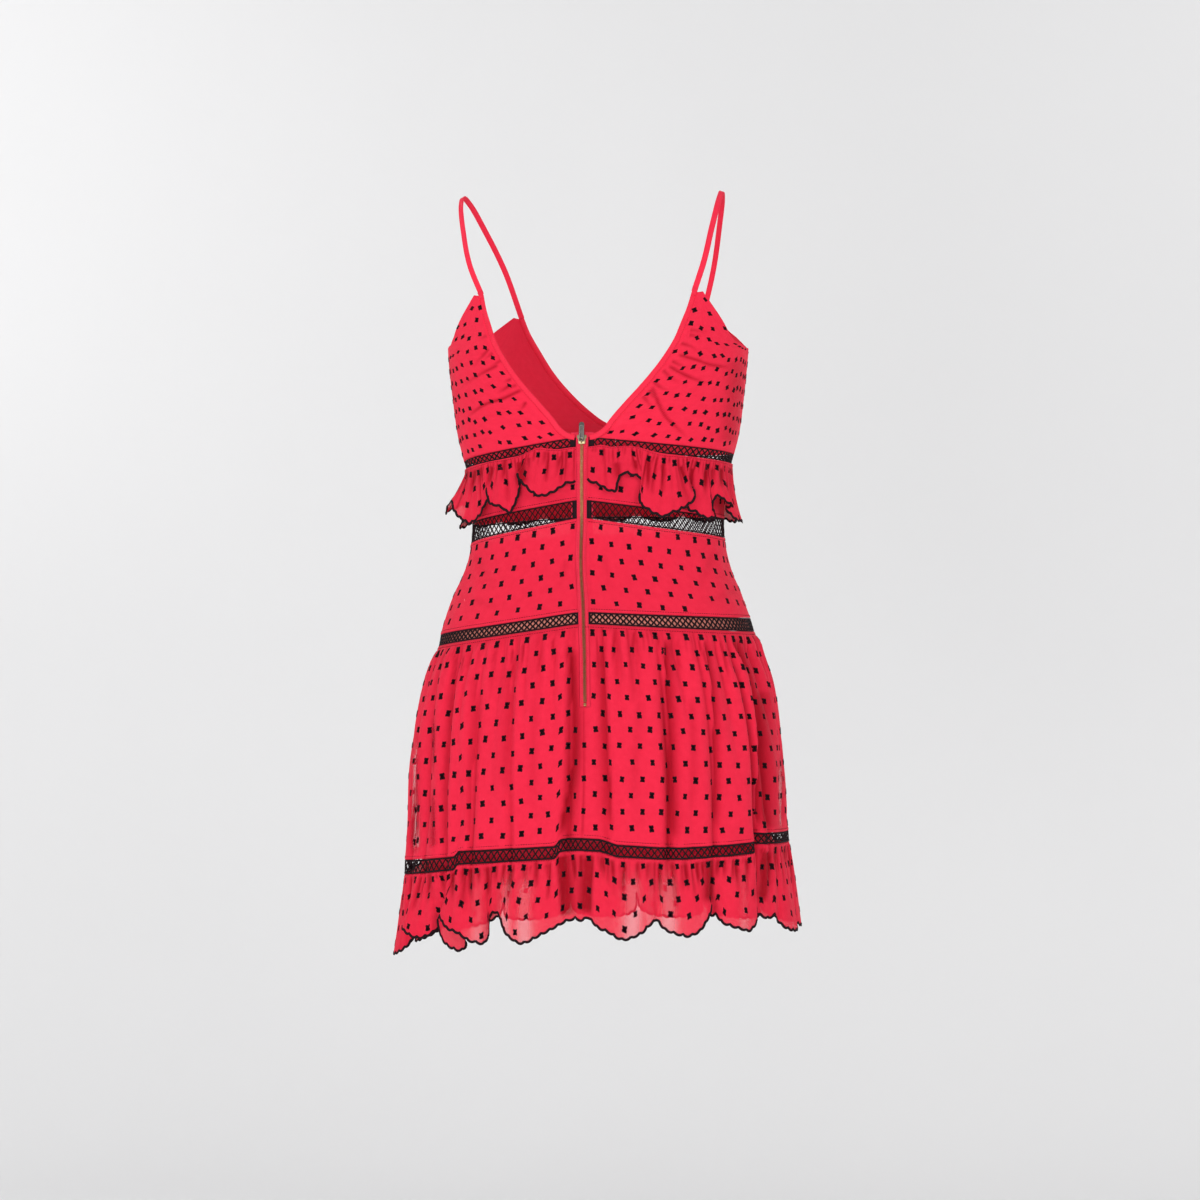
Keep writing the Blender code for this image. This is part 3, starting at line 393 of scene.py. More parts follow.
@dataclass(frozen=True)
class Surface:
    """Cloth as a grid of points in mm: its rows run down and its columns run round.

    Columns run with the turn, so that across a row then down a column turns outwards. Tone
    is painted shade: how much darker the cloth's colour is made in its folds and creases.
    Cover is how much each of its two walls hides.
    """

    points: Array
    closed: bool = False
    tone: Optional[Array] = None
    cover: Optional[Array] = None

    def wrapped(self) -> Array:
        """The grid, with a closed ring's first column again after its last."""
        return np.concatenate([self.points, self.points[:, :1]], axis=1) if self.closed else self.points

    def at(self, row: Array, column: Array) -> Array:
        """Points between the grid's own, by straight steps both ways."""
        grid = self.wrapped()
        rows, columns = grid.shape[:2]
        row = np.clip(row, 0, rows - 1)
        column = np.mod(column, columns - 1) if self.closed else np.clip(column, 0, columns - 1)
        r, c = np.minimum(row.astype(int), rows - 2), np.minimum(column.astype(int), columns - 2)
        p, q = (row - r)[..., None], (column - c)[..., None]
        upper = grid[r, c] * (1 - q) + grid[r, c + 1] * q
        lower = grid[r + 1, c] * (1 - q) + grid[r + 1, c + 1] * q
        return upper * (1 - p) + lower * p

    def steps(self, row: Array, column: Array, reach: float = 0.7) -> tuple[Array, Array]:
        """How the surface runs, in mm for each column across and for each row down."""
        row, column = np.asarray(row, float), np.asarray(column, float)
        across = (self.at(row, column + reach) - self.at(row, column - reach)) / (2 * reach)
        down = (self.at(row + reach, column) - self.at(row - reach, column)) / (2 * reach)
        return across, down

    def normals(self, row: Array, column: Array) -> Array:
        """Outward unit normals: the cross product of the steps across and down."""
        return unit(np.cross(*self.steps(row, column)))

    def measure(self, row: int) -> Array:
        """Lengths along a row up to each column, in mm, the closing step included."""
        return run_lengths(self.wrapped()[row])

    def depths(self) -> Array:
        """Usual lengths down the surface to each row, in mm."""
        steps = np.linalg.norm(np.diff(self.points, axis=0), axis=2).mean(axis=1)
        return np.concatenate([[0], np.cumsum(steps)])

    def line(self, rows: Array, columns: Array, lift: float = 0.0) -> Path:
        """A path on the surface with its normals, lifted off it by some mm."""
        normals = self.normals(rows, columns)
        return self.at(rows, columns) + normals * lift, normals


def unit(vectors: Array) -> Array:
    """Vectors made one long."""
    return vectors / np.maximum(np.linalg.norm(vectors, axis=-1, keepdims=True), 1e-9)


def ring_walls(count: int, low: int, high: int) -> Array:
    """Quads between two rings of points, from the index of each ring's first point."""
    near = np.arange(count)
    after = (near + 1) % count
    return np.stack([near + low, after + low, after + high, near + high], axis=1)


def at_depth(outline: Array, depth: float) -> Array:
    """An outline of steps across and up, put at a depth of the zip's own frame."""
    return np.column_stack([outline[:, 0], np.full(len(outline), depth), outline[:, 1]])


def new_mesh(name: str, points: Array, faces: Sequence[Array], uv: Optional[Array] = None):
    """An object from arrays.

    Args:
        name: the piece's name.
        points: mm.
        faces: arrays of corner indices, one for each number of corners.
        uv: a cloth-map place for each corner, in metres.

    Returns:
        The object, linked and shaded smooth.
    """
    mesh = bpy.data.meshes.new(name)
    mesh.vertices.add(len(points))
    mesh.vertices.foreach_set("co", (points * MM).astype(np.float32).ravel())
    corners = np.concatenate([face.ravel() for face in faces]).astype(np.int32)
    counts = np.concatenate([np.full(len(face), face.shape[1]) for face in faces])
    mesh.loops.add(len(corners))
    mesh.loops.foreach_set("vertex_index", corners)
    mesh.polygons.add(len(counts))
    mesh.polygons.foreach_set("loop_start", np.concatenate([[0], np.cumsum(counts)[:-1]]).astype(np.int32))
    if uv is not None:
        mesh.uv_layers.new(name="cloth").data.foreach_set("uv", uv.astype(np.float32).ravel())
    mesh.update(calc_edges=True)
    mesh.validate()
    mesh.shade_smooth()
    made = bpy.data.objects.new(name, mesh)
    bpy.context.scene.collection.objects.link(made)
    return made


def cloth_mesh(name: str, surface: Surface, keep: Optional[Array] = None, shell: float = SHELL):
    """A cloth piece: the surface's quads with a thin wall behind them.

    Args:
        name: the piece's name.
        surface: its form.
        keep: which quads there are, by row and column; all of them if it isn't given.
        shell: the wall in mm.

    Returns:
        The object, with a cloth map in metres along the rows and down the columns.
    """
    rows, columns = surface.points.shape[:2]
    last = columns if surface.closed else columns - 1
    r, c = np.indices((rows - 1, last)).reshape(2, -1)
    if keep is not None:
        r, c = r[keep.ravel()], c[keep.ravel()]
    corner_rows = np.stack([r, r, r + 1, r + 1], axis=1)
    corner_columns = np.stack([c, c + 1, c + 1, c], axis=1)
    quads = corner_rows * columns + corner_columns % columns
    across = surface.measure(rows // 2)
    down = surface.depths()
    uv = np.stack([across[corner_columns], -down[corner_rows]], axis=-1) * MM
    made = new_mesh(name, surface.points.reshape(-1, 3), [quads], uv.reshape(-1, 2))
    # The tone attribute carries painted shade to the material, and cover carries its alpha.
    for key, values in (("tone", surface.tone), ("cover", surface.cover)):
        if values is not None:
            each = np.broadcast_to(values, (rows, columns)).astype(np.float32)
            made.data.attributes.new(key, "FLOAT", "POINT").data.foreach_set("value", each.ravel())
    if shell:
        wall = made.modifiers.new("wall", "SOLIDIFY")
        wall.thickness = shell * MM
        wall.offset = -1.0
    return made


def carried(name: str, paths: Sequence[Path], profile: Array, ring: bool = True, loop: bool = False):
    """A profile carried along paths: each point is the path's, plus the profile's two steps.

    Args:
        name: the piece's name.
        paths: points with their normals, in mm.
        profile: steps sideways and along the normal, in order round the profile.
        ring: whether the profile closes on itself.
        loop: whether each path closes on itself.

    Returns:
        The object, with a cloth map along each path and round the profile.
    """
    points, quads, caps, maps = [], [], [], []
    count, start = len(profile), 0
    for path, normals in paths:
        tangent = np.roll(path, -1, 0) - np.roll(path, 1, 0) if loop else np.gradient(path, axis=0)
        tangent = unit(tangent)
        side = unit(np.cross(tangent, normals))
        rise = unit(np.cross(side, tangent))
        rings = path[:, None] + side[:, None] * profile[None, :, :1] + rise[:, None] * profile[None, :, 1:]
        points.append(rings.reshape(-1, 3))
        k, m = np.indices((len(path) - (not loop), count - (not ring))).reshape(2, -1)
        after, beside = (k + 1) % len(path), (m + 1) % count
        quads.append(start + np.stack([k * count + m, k * count + beside,
                                       after * count + beside, after * count + m], axis=1))
        along = run_lengths(path)
        along = np.append(along, along[-1] + along[1])
        round_it = np.linspace(0, 1, count + 1) * count
        maps.append(np.stack([along[np.stack([k, k, k + 1, k + 1], 1)],
                              round_it[np.stack([m, m + 1, m + 1, m], 1)]], axis=-1).reshape(-1, 2))
        if ring and not loop:
            caps += [start + np.arange(count)[::-1], start + (len(path) - 1) * count + np.arange(count)]
        start += rings.shape[0] * count
    all_points, all_quads = np.concatenate(points), np.concatenate(quads)
    corners = all_points[all_quads[0]]
    outward = np.dot(np.cross(corners[1] - corners[0], corners[3] - corners[0]),
                     corners.mean(axis=0) - paths[0][0][:2].mean(axis=0))
    uv = np.concatenate(maps) * MM
    faces = [all_quads]
    if caps:
        faces.append(np.stack(caps))
        uv = np.concatenate([uv, np.zeros((len(caps) * count, 2))])
    made = new_mesh(name, all_points, faces, uv)
    if outward < 0:
        made.data.flip_normals()
    return made


def oval(width: float, thick: float, sides: int, lift: float = 0.0) -> Array:
    """A closed oval profile: sideways half width times cosine, outward half thickness times sine."""
    round_it = np.arange(sides) * FULL / sides + math.pi / sides
    return np.stack([np.cos(round_it) * width / 2, lift + np.sin(round_it) * thick / 2], axis=1)


def repeated(name: str, template: Array, faces: Sequence[Array], origins: Array, frames: Array):
    """A small shape put down many times.

    Args:
        name: the piece's name.
        template: the shape's points in its own frame, in mm.
        faces: its faces.
        origins: where each copy stands, in mm.
        frames: three axes for each copy, as rows.

    Returns:
        One object that holds every copy.
    """
    points = origins[:, None] + np.einsum("vk,nkx->nvx", template, frames)
    shift = np.arange(len(origins))[:, None, None] * len(template)
    many = [(face[None] + shift).reshape(-1, face.shape[1]) for face in faces]
    uv = np.concatenate([points.reshape(-1, 3)[face.ravel()][:, ::2] for face in many]) * MM
    return new_mesh(name, points.reshape(-1, 3), many, uv)


class Nodes:
    """A small helper that adds nodes to one tree and joins them."""

    def __init__(self, tree: bpy.types.NodeTree) -> None:
        """Keep the tree."""
        self.tree = tree

    def add(self, kind: str, inputs: Optional[dict] = None, **settings) -> bpy.types.Node:
        """A node with its settings, and with values or links put into its inputs."""
        node = self.tree.nodes.new(kind)
        for key, value in settings.items():
            setattr(node, key, value)
        return self.fill(node, inputs or {})

    def fill(self, node: bpy.types.Node, inputs: dict) -> bpy.types.Node:
        """Put values or links into a node's inputs."""
        for key, value in inputs.items():
            socket = node.inputs[key]
            if isinstance(value, bpy.types.NodeSocket):
                self.tree.links.new(value, socket)
            else:
                socket.default_value = value
        return node

    def math(self, operation: str, first: object, second: object = 0.0) -> bpy.types.NodeSocket:
        """One sum of two values."""
        return self.add("ShaderNodeMath", {0: first, 1: second}, operation=operation).outputs[0]

    def mix(self, share: object, first: object, second: Colour) -> bpy.types.NodeSocket:
        """A colour between a first one, which may be a link, and a second."""
        first = (*first, 1.0) if isinstance(first, tuple) else first
        node = self.add("ShaderNodeMix", {0: share, 6: first, 7: (*second, 1.0)}, data_type="RGBA")
        return node.outputs[2]

    def span(self, share: object, low: float, high: float) -> bpy.types.NodeSocket:
        """A value that goes from low to high as the share goes from 0 to 1."""
        return self.add("ShaderNodeMapRange", {"Value": share, "To Min": low, "To Max": high}).outputs[0]

    def relief(self, strength: float, distance: float, height: object) -> bpy.types.NodeSocket:
        """The normal of a surface that a height roughens, over a distance in metres."""
        return self.add("ShaderNodeBump", {"Strength": strength, "Distance": distance,
                                           "Height": height}).outputs[0]


def painted(name: str, draw: Callable[[Nodes], dict]) -> bpy.types.Material:
    """A material, made once: draw adds its nodes and returns the shader's inputs."""
    if name in bpy.data.materials:
        return bpy.data.materials[name]
    made = bpy.data.materials.new(name)
    made.use_nodes = True
    nodes = Nodes(made.node_tree)
    nodes.fill(made.node_tree.nodes["Principled BSDF"], draw(nodes))
    return made


class Effects:
    """Node groups that more than one material uses."""

    @staticmethod
    def group(name: str, inputs: Sequence[tuple[str, str]], outputs: Sequence[tuple[str, str]]):
        """An empty group with named sockets, or None in its second place if it was made before."""
        if name in bpy.data.node_groups:
            return bpy.data.node_groups[name], None
        tree = bpy.data.node_groups.new(name, "ShaderNodeTree")
        for direction, sockets in (("INPUT", inputs), ("OUTPUT", outputs)):
            for socket, kind in sockets:
                tree.interface.new_socket(socket, in_out=direction, socket_type="NodeSocket" + kind)
        return tree, Nodes(tree)

    @classmethod
    def threads(cls) -> bpy.types.NodeTree:
        """Crossed threads with uneven twist: two waves at right angles, roughened by noise."""
        tree, nodes = cls.group("crossed_threads",
                                (("Place", "Vector"), ("Count", "Float"), ("Slub", "Float")),
                                (("Height", "Float"), ("Shade", "Float")))
        if nodes is None:
            return tree
        given = nodes.add("NodeGroupInput").outputs
        twist = nodes.add("ShaderNodeTexNoise", {"Vector": given["Place"], "Scale": 900.0, "Detail": 2.0})
        slub = nodes.add("ShaderNodeTexNoise", {"Vector": given["Place"], "Scale": 140.0, "Detail": 3.0})
        sides = []
        for direction in ("X", "Y"):
            wave = nodes.add("ShaderNodeTexWave", {"Vector": given["Place"], "Scale": given["Count"],
                                                   "Distortion": given["Slub"], "Detail": 1.0,
                                                   "Detail Scale": 2.0},
                             bands_direction=direction)
            sides.append(wave.outputs["Fac"])
        crossed = nodes.math("MAXIMUM", sides[0], sides[1])
        rough = nodes.math("MULTIPLY", crossed, nodes.math("ADD", twist.outputs["Fac"], 0.5))
        shade = nodes.math("ADD", nodes.math("MULTIPLY", rough, 0.45),
                           nodes.math("MULTIPLY", slub.outputs["Fac"], 0.7))
        nodes.add("NodeGroupOutput", {"Height": rough, "Shade": shade})
        return tree

    @classmethod
    def tarnish(cls) -> bpy.types.NodeTree:
        """Uneven wear of metal: broad cloudy noise and fine scratches."""
        tree, nodes = cls.group("tarnish", (("Place", "Vector"),),
                                (("Cloud", "Float"), ("Scratch", "Float")))
        if nodes is None:
            return tree
        place = nodes.add("NodeGroupInput").outputs["Place"]
        cloud = nodes.add("ShaderNodeTexNoise", {"Vector": place, "Scale": 260.0, "Detail": 4.0})
        stretched = nodes.add("ShaderNodeMapping", {"Vector": place, "Scale": (3000.0, 3000.0, 300.0)})
        scratch = nodes.add("ShaderNodeTexNoise", {"Vector": stretched.outputs[0], "Scale": 1.0,
                                                   "Detail": 3.0})
        nodes.add("NodeGroupOutput", {"Cloud": cloud.outputs["Fac"], "Scratch": scratch.outputs["Fac"]})
        return tree


@dataclass(frozen=True)
class ClothFinish:
    """A woven or knitted finish on the piece's own cloth map."""

    name: str
    light: Colour
    dark: Colour
    roughness: float
    alpha: float = 1.0
    sheen: float = 0.0
    sheen_tint: Colour = (1.0, 1.0, 1.0)
    count: float = 520.0
    slub: float = 2.0
    relief: float = 0.35
    # The colour that painted shade in folds and creases darkens the cloth towards.
    folded: Optional[Colour] = None

    def material(self) -> bpy.types.Material:
        """The material, made at its first use."""
        return painted(self.name, self.inputs)

    def inputs(self, nodes: Nodes) -> dict:
        """The shader's inputs: two tones by the threads' shade, painted shade towards the folded colour by
        the tone attribute, and relief from their height.
        """
        place = nodes.add("ShaderNodeUVMap", uv_map="cloth").outputs["UV"]
        weave = nodes.add("ShaderNodeGroup", node_tree=Effects.threads())
        weave = nodes.fill(weave, {"Place": place, "Count": self.count, "Slub": self.slub}).outputs
        tone, alpha = nodes.mix(weave["Shade"], self.dark, self.light), self.alpha
        # Painted shade: the tone attribute darkens the colour towards the folded colour, and cover sets the
        # alpha.
        if self.folded:
            deep, alpha = (nodes.add("ShaderNodeAttribute", attribute_name=key).outputs["Fac"]
                           for key in ("tone", "cover"))
            tone = nodes.mix(deep, tone, self.folded)
        return {
            "Base Color": tone,
            "Alpha": alpha,
            "Roughness": nodes.span(weave["Shade"], self.roughness + 0.08, self.roughness - 0.05),
            "Normal": nodes.relief(self.relief, 0.0004, weave["Height"]),
            "Sheen Weight": self.sheen,
            "Sheen Tint": (*self.sheen_tint, 1.0),
            "Specular IOR Level": 0.12,
        }


@dataclass(frozen=True)
class MetalFinish:
    """A worn metal, patterned on the object's own place."""

    name: str
    light: Colour
    dark: Colour
    roughness: float

    def material(self) -> bpy.types.Material:
        """The material, made at its first use."""
        return painted(self.name, self.inputs)

    def inputs(self, nodes: Nodes) -> dict:
        """The shader's inputs: darker and rougher where the tarnish is."""
        place = nodes.add("ShaderNodeTexCoord").outputs["Object"]
        wear = nodes.add("ShaderNodeGroup", node_tree=Effects.tarnish())
        wear = nodes.fill(wear, {"Place": place}).outputs
        return {
            "Base Color": nodes.mix(wear["Cloud"], self.dark, self.light),
            "Roughness": nodes.span(wear["Cloud"], self.roughness + 0.15, self.roughness - 0.08),
            "Normal": nodes.relief(0.15, 0.0002, wear["Scratch"]),
            "Metallic": 1.0,
        }


RED: Colour = (0.90, 0.024, 0.068)
DEEP_RED: Colour = (0.74, 0.012, 0.042)
# Painted shade: the dark red that the crepe's folds and creases are darkened towards.
PAINTED_SHADE_RED: Colour = (0.40, 0.001, 0.012)
PALE_SHEEN: Colour = (1.0, 0.6, 0.65)
CREPE = ClothFinish("dotted_crepe", RED, DEEP_RED, 0.8, sheen=0.06, sheen_tint=PALE_SHEEN, folded=PAINTED_SHADE_RED)
BINDING = ClothFinish("binding_crepe", (0.90, 0.028, 0.07), (0.74, 0.014, 0.045), 0.7, 1.0, 0.06, PALE_SHEEN)
LINING = ClothFinish("lining_satin", (0.86, 0.02, 0.06), (0.74, 0.012, 0.045), 0.5, 1.0, 0.05, PALE_SHEEN,
                     slub=0.5, relief=0.1)
LACE = ClothFinish("lace_thread", (0.020, 0.008, 0.011), (0.006, 0.002, 0.004), 0.85, count=260.0, relief=0.6)
SPOT = ClothFinish("spot_thread", (0.040, 0.008, 0.014), (0.012, 0.003, 0.005), 0.9, count=380.0, relief=0.8)
NET = ClothFinish("skin_net", (0.98, 0.36, 0.28), (0.78, 0.23, 0.18), 0.8, 0.9, count=300.0, relief=0.6)
TAPE = ClothFinish("zip_tape", (0.90, 0.036, 0.085), (0.66, 0.014, 0.045), 0.75, 1.0, 0.06, PALE_SHEEN,
                   count=420.0, slub=0.4, relief=0.6)
RED_THREAD = ClothFinish("red_thread", (0.62, 0.012, 0.035), (0.42, 0.006, 0.02), 0.7, count=700.0)
DARK_THREAD = ClothFinish("dark_red_thread", (0.13, 0.004, 0.01), (0.06, 0.002, 0.005), 0.7, count=700.0)
BRASS = MetalFinish("old_brass", (0.40, 0.20, 0.09), (0.16, 0.075, 0.03), 0.38)
SLIDER_BRASS = MetalFinish("slider_brass", (0.42, 0.36, 0.20), (0.20, 0.17, 0.09), 0.3)
GUNMETAL = MetalFinish("dark_gunmetal", (0.42, 0.41, 0.39), (0.20, 0.195, 0.185), 0.24)
SUNK_GUNMETAL = MetalFinish("sunk_gunmetal", (0.13, 0.115, 0.105), (0.06, 0.052, 0.05), 0.42)


def settle(made, finish, nodes: Sequence[str] = (), body: str = BODY):
    """Give a piece its finish, its body and the nodes that it stands for."""
    made.data.materials.append(finish.material())
    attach(made, body)
    if nodes:
        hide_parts(*nodes)
    log.info("%s: %d faces, stands for %s", made.name, len(made.data.polygons), list(nodes) or "no node")
    return made


@dataclass(frozen=True)
class Spots:
    """Clipped spots: two small bars of thread, one above the other, joined by a narrow neck."""

    width: float = 5.0
    tall: float = 6.7
    raised: float = 0.22
    across: float = 20.7
    down: float = 16.4
    spread: float = 1.1
    swing: float = 0.16
    squash: float = 0.12
    zip_clear: float = 9.0

    def outline(self) -> Array:
        """The spot's outline, as shares of its half width and half height."""
        quarter = np.array([(0.62, 0.0), (0.95, 0.17), (1.0, 0.5), (0.93, 0.96), (0.3, 0.9)])
        right = np.concatenate([quarter[:0:-1] * (1, 1), quarter[:1], quarter[1:] * (1, -1)])
        return np.concatenate([right, right[::-1] * (-1, 1)])

    def lay(self, surface: Surface, margins: tuple[float, float] = (5.0, 5.0), row: float = 0.5,
            seed: int = 1, open_down: float = 0.0) -> tuple[Array, Array]:
        """Staggered rows of spots over a surface, measured along its cloth.

        Args:
            surface: the cloth.
            margins: mm left plain at the top and at the low edge.
            row: the share of the way down where the spacing across is true.
            seed: for their small shifts.
            open_down: mm down to which a closed ring is slit at its first column.

        Returns:
            Row and column of each spot on the surface's grid.
        """
        rows = len(surface.points)
        along = surface.measure(int(row * (rows - 1)))
        steps = np.linalg.norm(np.diff(surface.wrapped(), axis=0), axis=2)
        depth = np.concatenate([np.zeros((1, steps.shape[1])), np.cumsum(steps, axis=0)])
        deepest = depth[-1].max()
        draw = np.random.default_rng(seed)
        found = []
        count = max(int(round(along[-1] / self.across)), 1)
        for order, down in enumerate(np.arange(margins[0], deepest, self.down)):
            place = (np.arange(count) + 0.25 + 0.5 * (order % 2)) * along[-1] / count
            place = place + draw.uniform(-self.spread, self.spread, count)
            at = np.interp(place, along, np.arange(len(along)))
            low = np.interp(at, np.arange(depth.shape[1]), depth[-1])
            fits = down < low - margins[1]
            near = np.clip(np.round(at).astype(int), 0, depth.shape[1] - 1)
            here = down + draw.uniform(-self.spread, self.spread, count) * 0.5
            level = (depth[:, near] < here).sum(axis=0) - 1
            level = np.clip(level, 0, rows - 2)
            gap = depth[level + 1, near] - depth[level, near]
            part = (here - depth[level, near]) / np.maximum(gap, 1e-6)
            if surface.closed and order * self.down < open_down:
                clear = self.zip_clear
                fits &= np.abs((place + clear) % along[-1] - clear) > clear
            found.append(np.stack([(level + part)[fits], at[fits]]))
        return tuple(np.concatenate(found, axis=1))

    def mesh(self, name: str, surface: Surface, rows: Array, columns: Array, seed: int = 1):
        """Raised spots that follow the surface: each outline point is found on the cloth.

        Args:
            name: the piece's name.
            surface: the cloth.
            rows: row of each spot on its grid.
            columns: column of each spot on its grid.
            seed: for their small turns and sizes.

        Returns:
            One object that holds every spot.
        """
        draw = np.random.default_rng(seed)
        across, down = surface.steps(rows, columns, 1.2)
        outline = self.outline()
        swing = draw.uniform(-self.swing, self.swing, len(rows))
        size = draw.uniform(0.88, 1.08, (len(rows), 1))
        x = outline[:, 0] * self.width / 2 * size * draw.uniform(1 - self.squash, 1, (len(rows), 1))
        y = outline[:, 1] * self.tall / 2 * size * draw.uniform(0.92, 1.06, (len(rows), 1))
        turned_x = x * np.cos(swing)[:, None] - y * np.sin(swing)[:, None]
        turned_y = x * np.sin(swing)[:, None] + y * np.cos(swing)[:, None]
        step_c = turned_x / np.maximum(np.linalg.norm(across, axis=1), 0.2)[:, None]
        step_r = turned_y / np.maximum(np.linalg.norm(down, axis=1), 0.2)[:, None]
        all_rows, all_columns = rows[:, None] + step_r, columns[:, None] + step_c
        foot = surface.at(all_rows, all_columns)
        normal = surface.normals(rows, columns)[:, None]
        rim = foot + normal * self.raised
        inner = surface.at(rows[:, None] + step_r * 0.6, columns[:, None] + step_c * 0.6)
        inner = inner + normal * self.raised * 1.7
        count = len(outline)
        points = np.concatenate([foot - normal * 0.1, rim, inner], axis=1)
        wall = ring_walls(count, 0, count)[:, [0, 3, 2, 1]]
        top = 2 * count + np.arange(count)[None]
        shift = np.arange(len(rows))[:, None, None] * 3 * count
        faces = [(np.concatenate([wall, wall + count])[None] + shift).reshape(-1, 4),
                 (top[None] + shift).reshape(-1, count)]
        flat = np.stack([all_columns, all_rows], axis=-1)
        flat_map = np.concatenate([flat, flat, flat], axis=1).reshape(-1, 2) * 0.002
        corners = np.concatenate([face.ravel() for face in faces])
        made = new_mesh(name, points.reshape(-1, 3), faces, flat_map[corners])
        first = points[0]
        turn = np.cross(first[count] - first[0], first[1] - first[0])
        if np.dot(turn, first[0] - foot[0].mean(axis=0)) < 0:
            made.data.flip_normals()
        return made

    def build(self, name: str, surface: Surface, places: tuple[Array, Array], seed: int):
        """The spots of one piece, settled as black thread."""
        return settle(self.mesh("spots_" + name, surface, *places, seed), SPOT)


NEEDLE = np.array([(-1, 0, 0), (1, 0, 0), (0, 1, 0), (0, 0, 1), (0, -1, 0), (0, 0, -1)], float)
NEEDLE_FACES = np.array([(3, 2, 1), (4, 3, 1), (5, 4, 1), (2, 5, 1), (2, 3, 0), (3, 4, 0), (4, 5, 0),
                         (5, 2, 0)])


def stitches(name: str, paths: Sequence[Path], length: float, gap: float, thick: float):
    """Rows of sewn stitches: a spindle at even steps along each path.

    Args:
        name: the piece's name.
        paths: points with their normals, in mm.
        length: of one stitch.
        gap: between stitches.
        thick: of the thread.

    Returns:
        One object that holds every stitch.
    """
    origins, frames = [], []
    for path, normals in paths:
        along = run_lengths(path)
        middles = np.arange(length / 2 + gap, along[-1] - length / 2, length + gap)
        ends = [np.stack([np.interp(middles + step, along, axis) for axis in path.T], axis=1)
                for step in (-length / 2, length / 2)]
        normal = np.stack([np.interp(middles, along, axis) for axis in normals.T], axis=1)
        run = ends[1] - ends[0]
        side = unit(np.cross(run, normal))
        origins.append((ends[0] + ends[1]) / 2)
        frames.append(np.stack([run / 2, side * thick / 2, unit(np.cross(side, run)) * thick / 2], axis=1))
    return repeated(name, NEEDLE, [NEEDLE_FACES], np.concatenate(origins), np.concatenate(frames))


def row_at(surface: Surface, mm_down: float) -> float:
    """The row that lies some mm below the top edge, or above the low edge if it is negative."""
    depth = surface.depths()
    return float(np.interp(mm_down if mm_down >= 0 else depth[-1] + mm_down, depth, np.arange(len(depth))))


def seam_path(surface: Surface, mm_down: float, step: float = 4.0, lift: float = 0.15) -> Path:
    """A path along a surface at a distance from its top or low edge."""
    length = surface.measure(0)[-1]
    columns = np.linspace(0, surface.wrapped().shape[1] - 1, max(int(length / step), 2))
    if surface.closed:
        columns = columns[:-1]
    return surface.line(np.full(len(columns), row_at(surface, mm_down)), columns, lift)


def crepe_piece(name: str, surface: Surface, keep: Optional[Array] = None):
    """A piece of dotted crepe, settled for the node of its name."""
    return settle(cloth_mesh("crepe_" + name, surface, keep), CREPE, [name])


def seam_rows(name: str, surface: Surface):
    """Dark stitches beside the seams above and below a piece."""
    lines = [seam_path(surface, step, lift=0.05) for step in (SEAM_SEWING, -SEAM_SEWING)]
    return settle(stitches("stitches_" + name, lines, *SEAM_STITCH), DARK_THREAD)


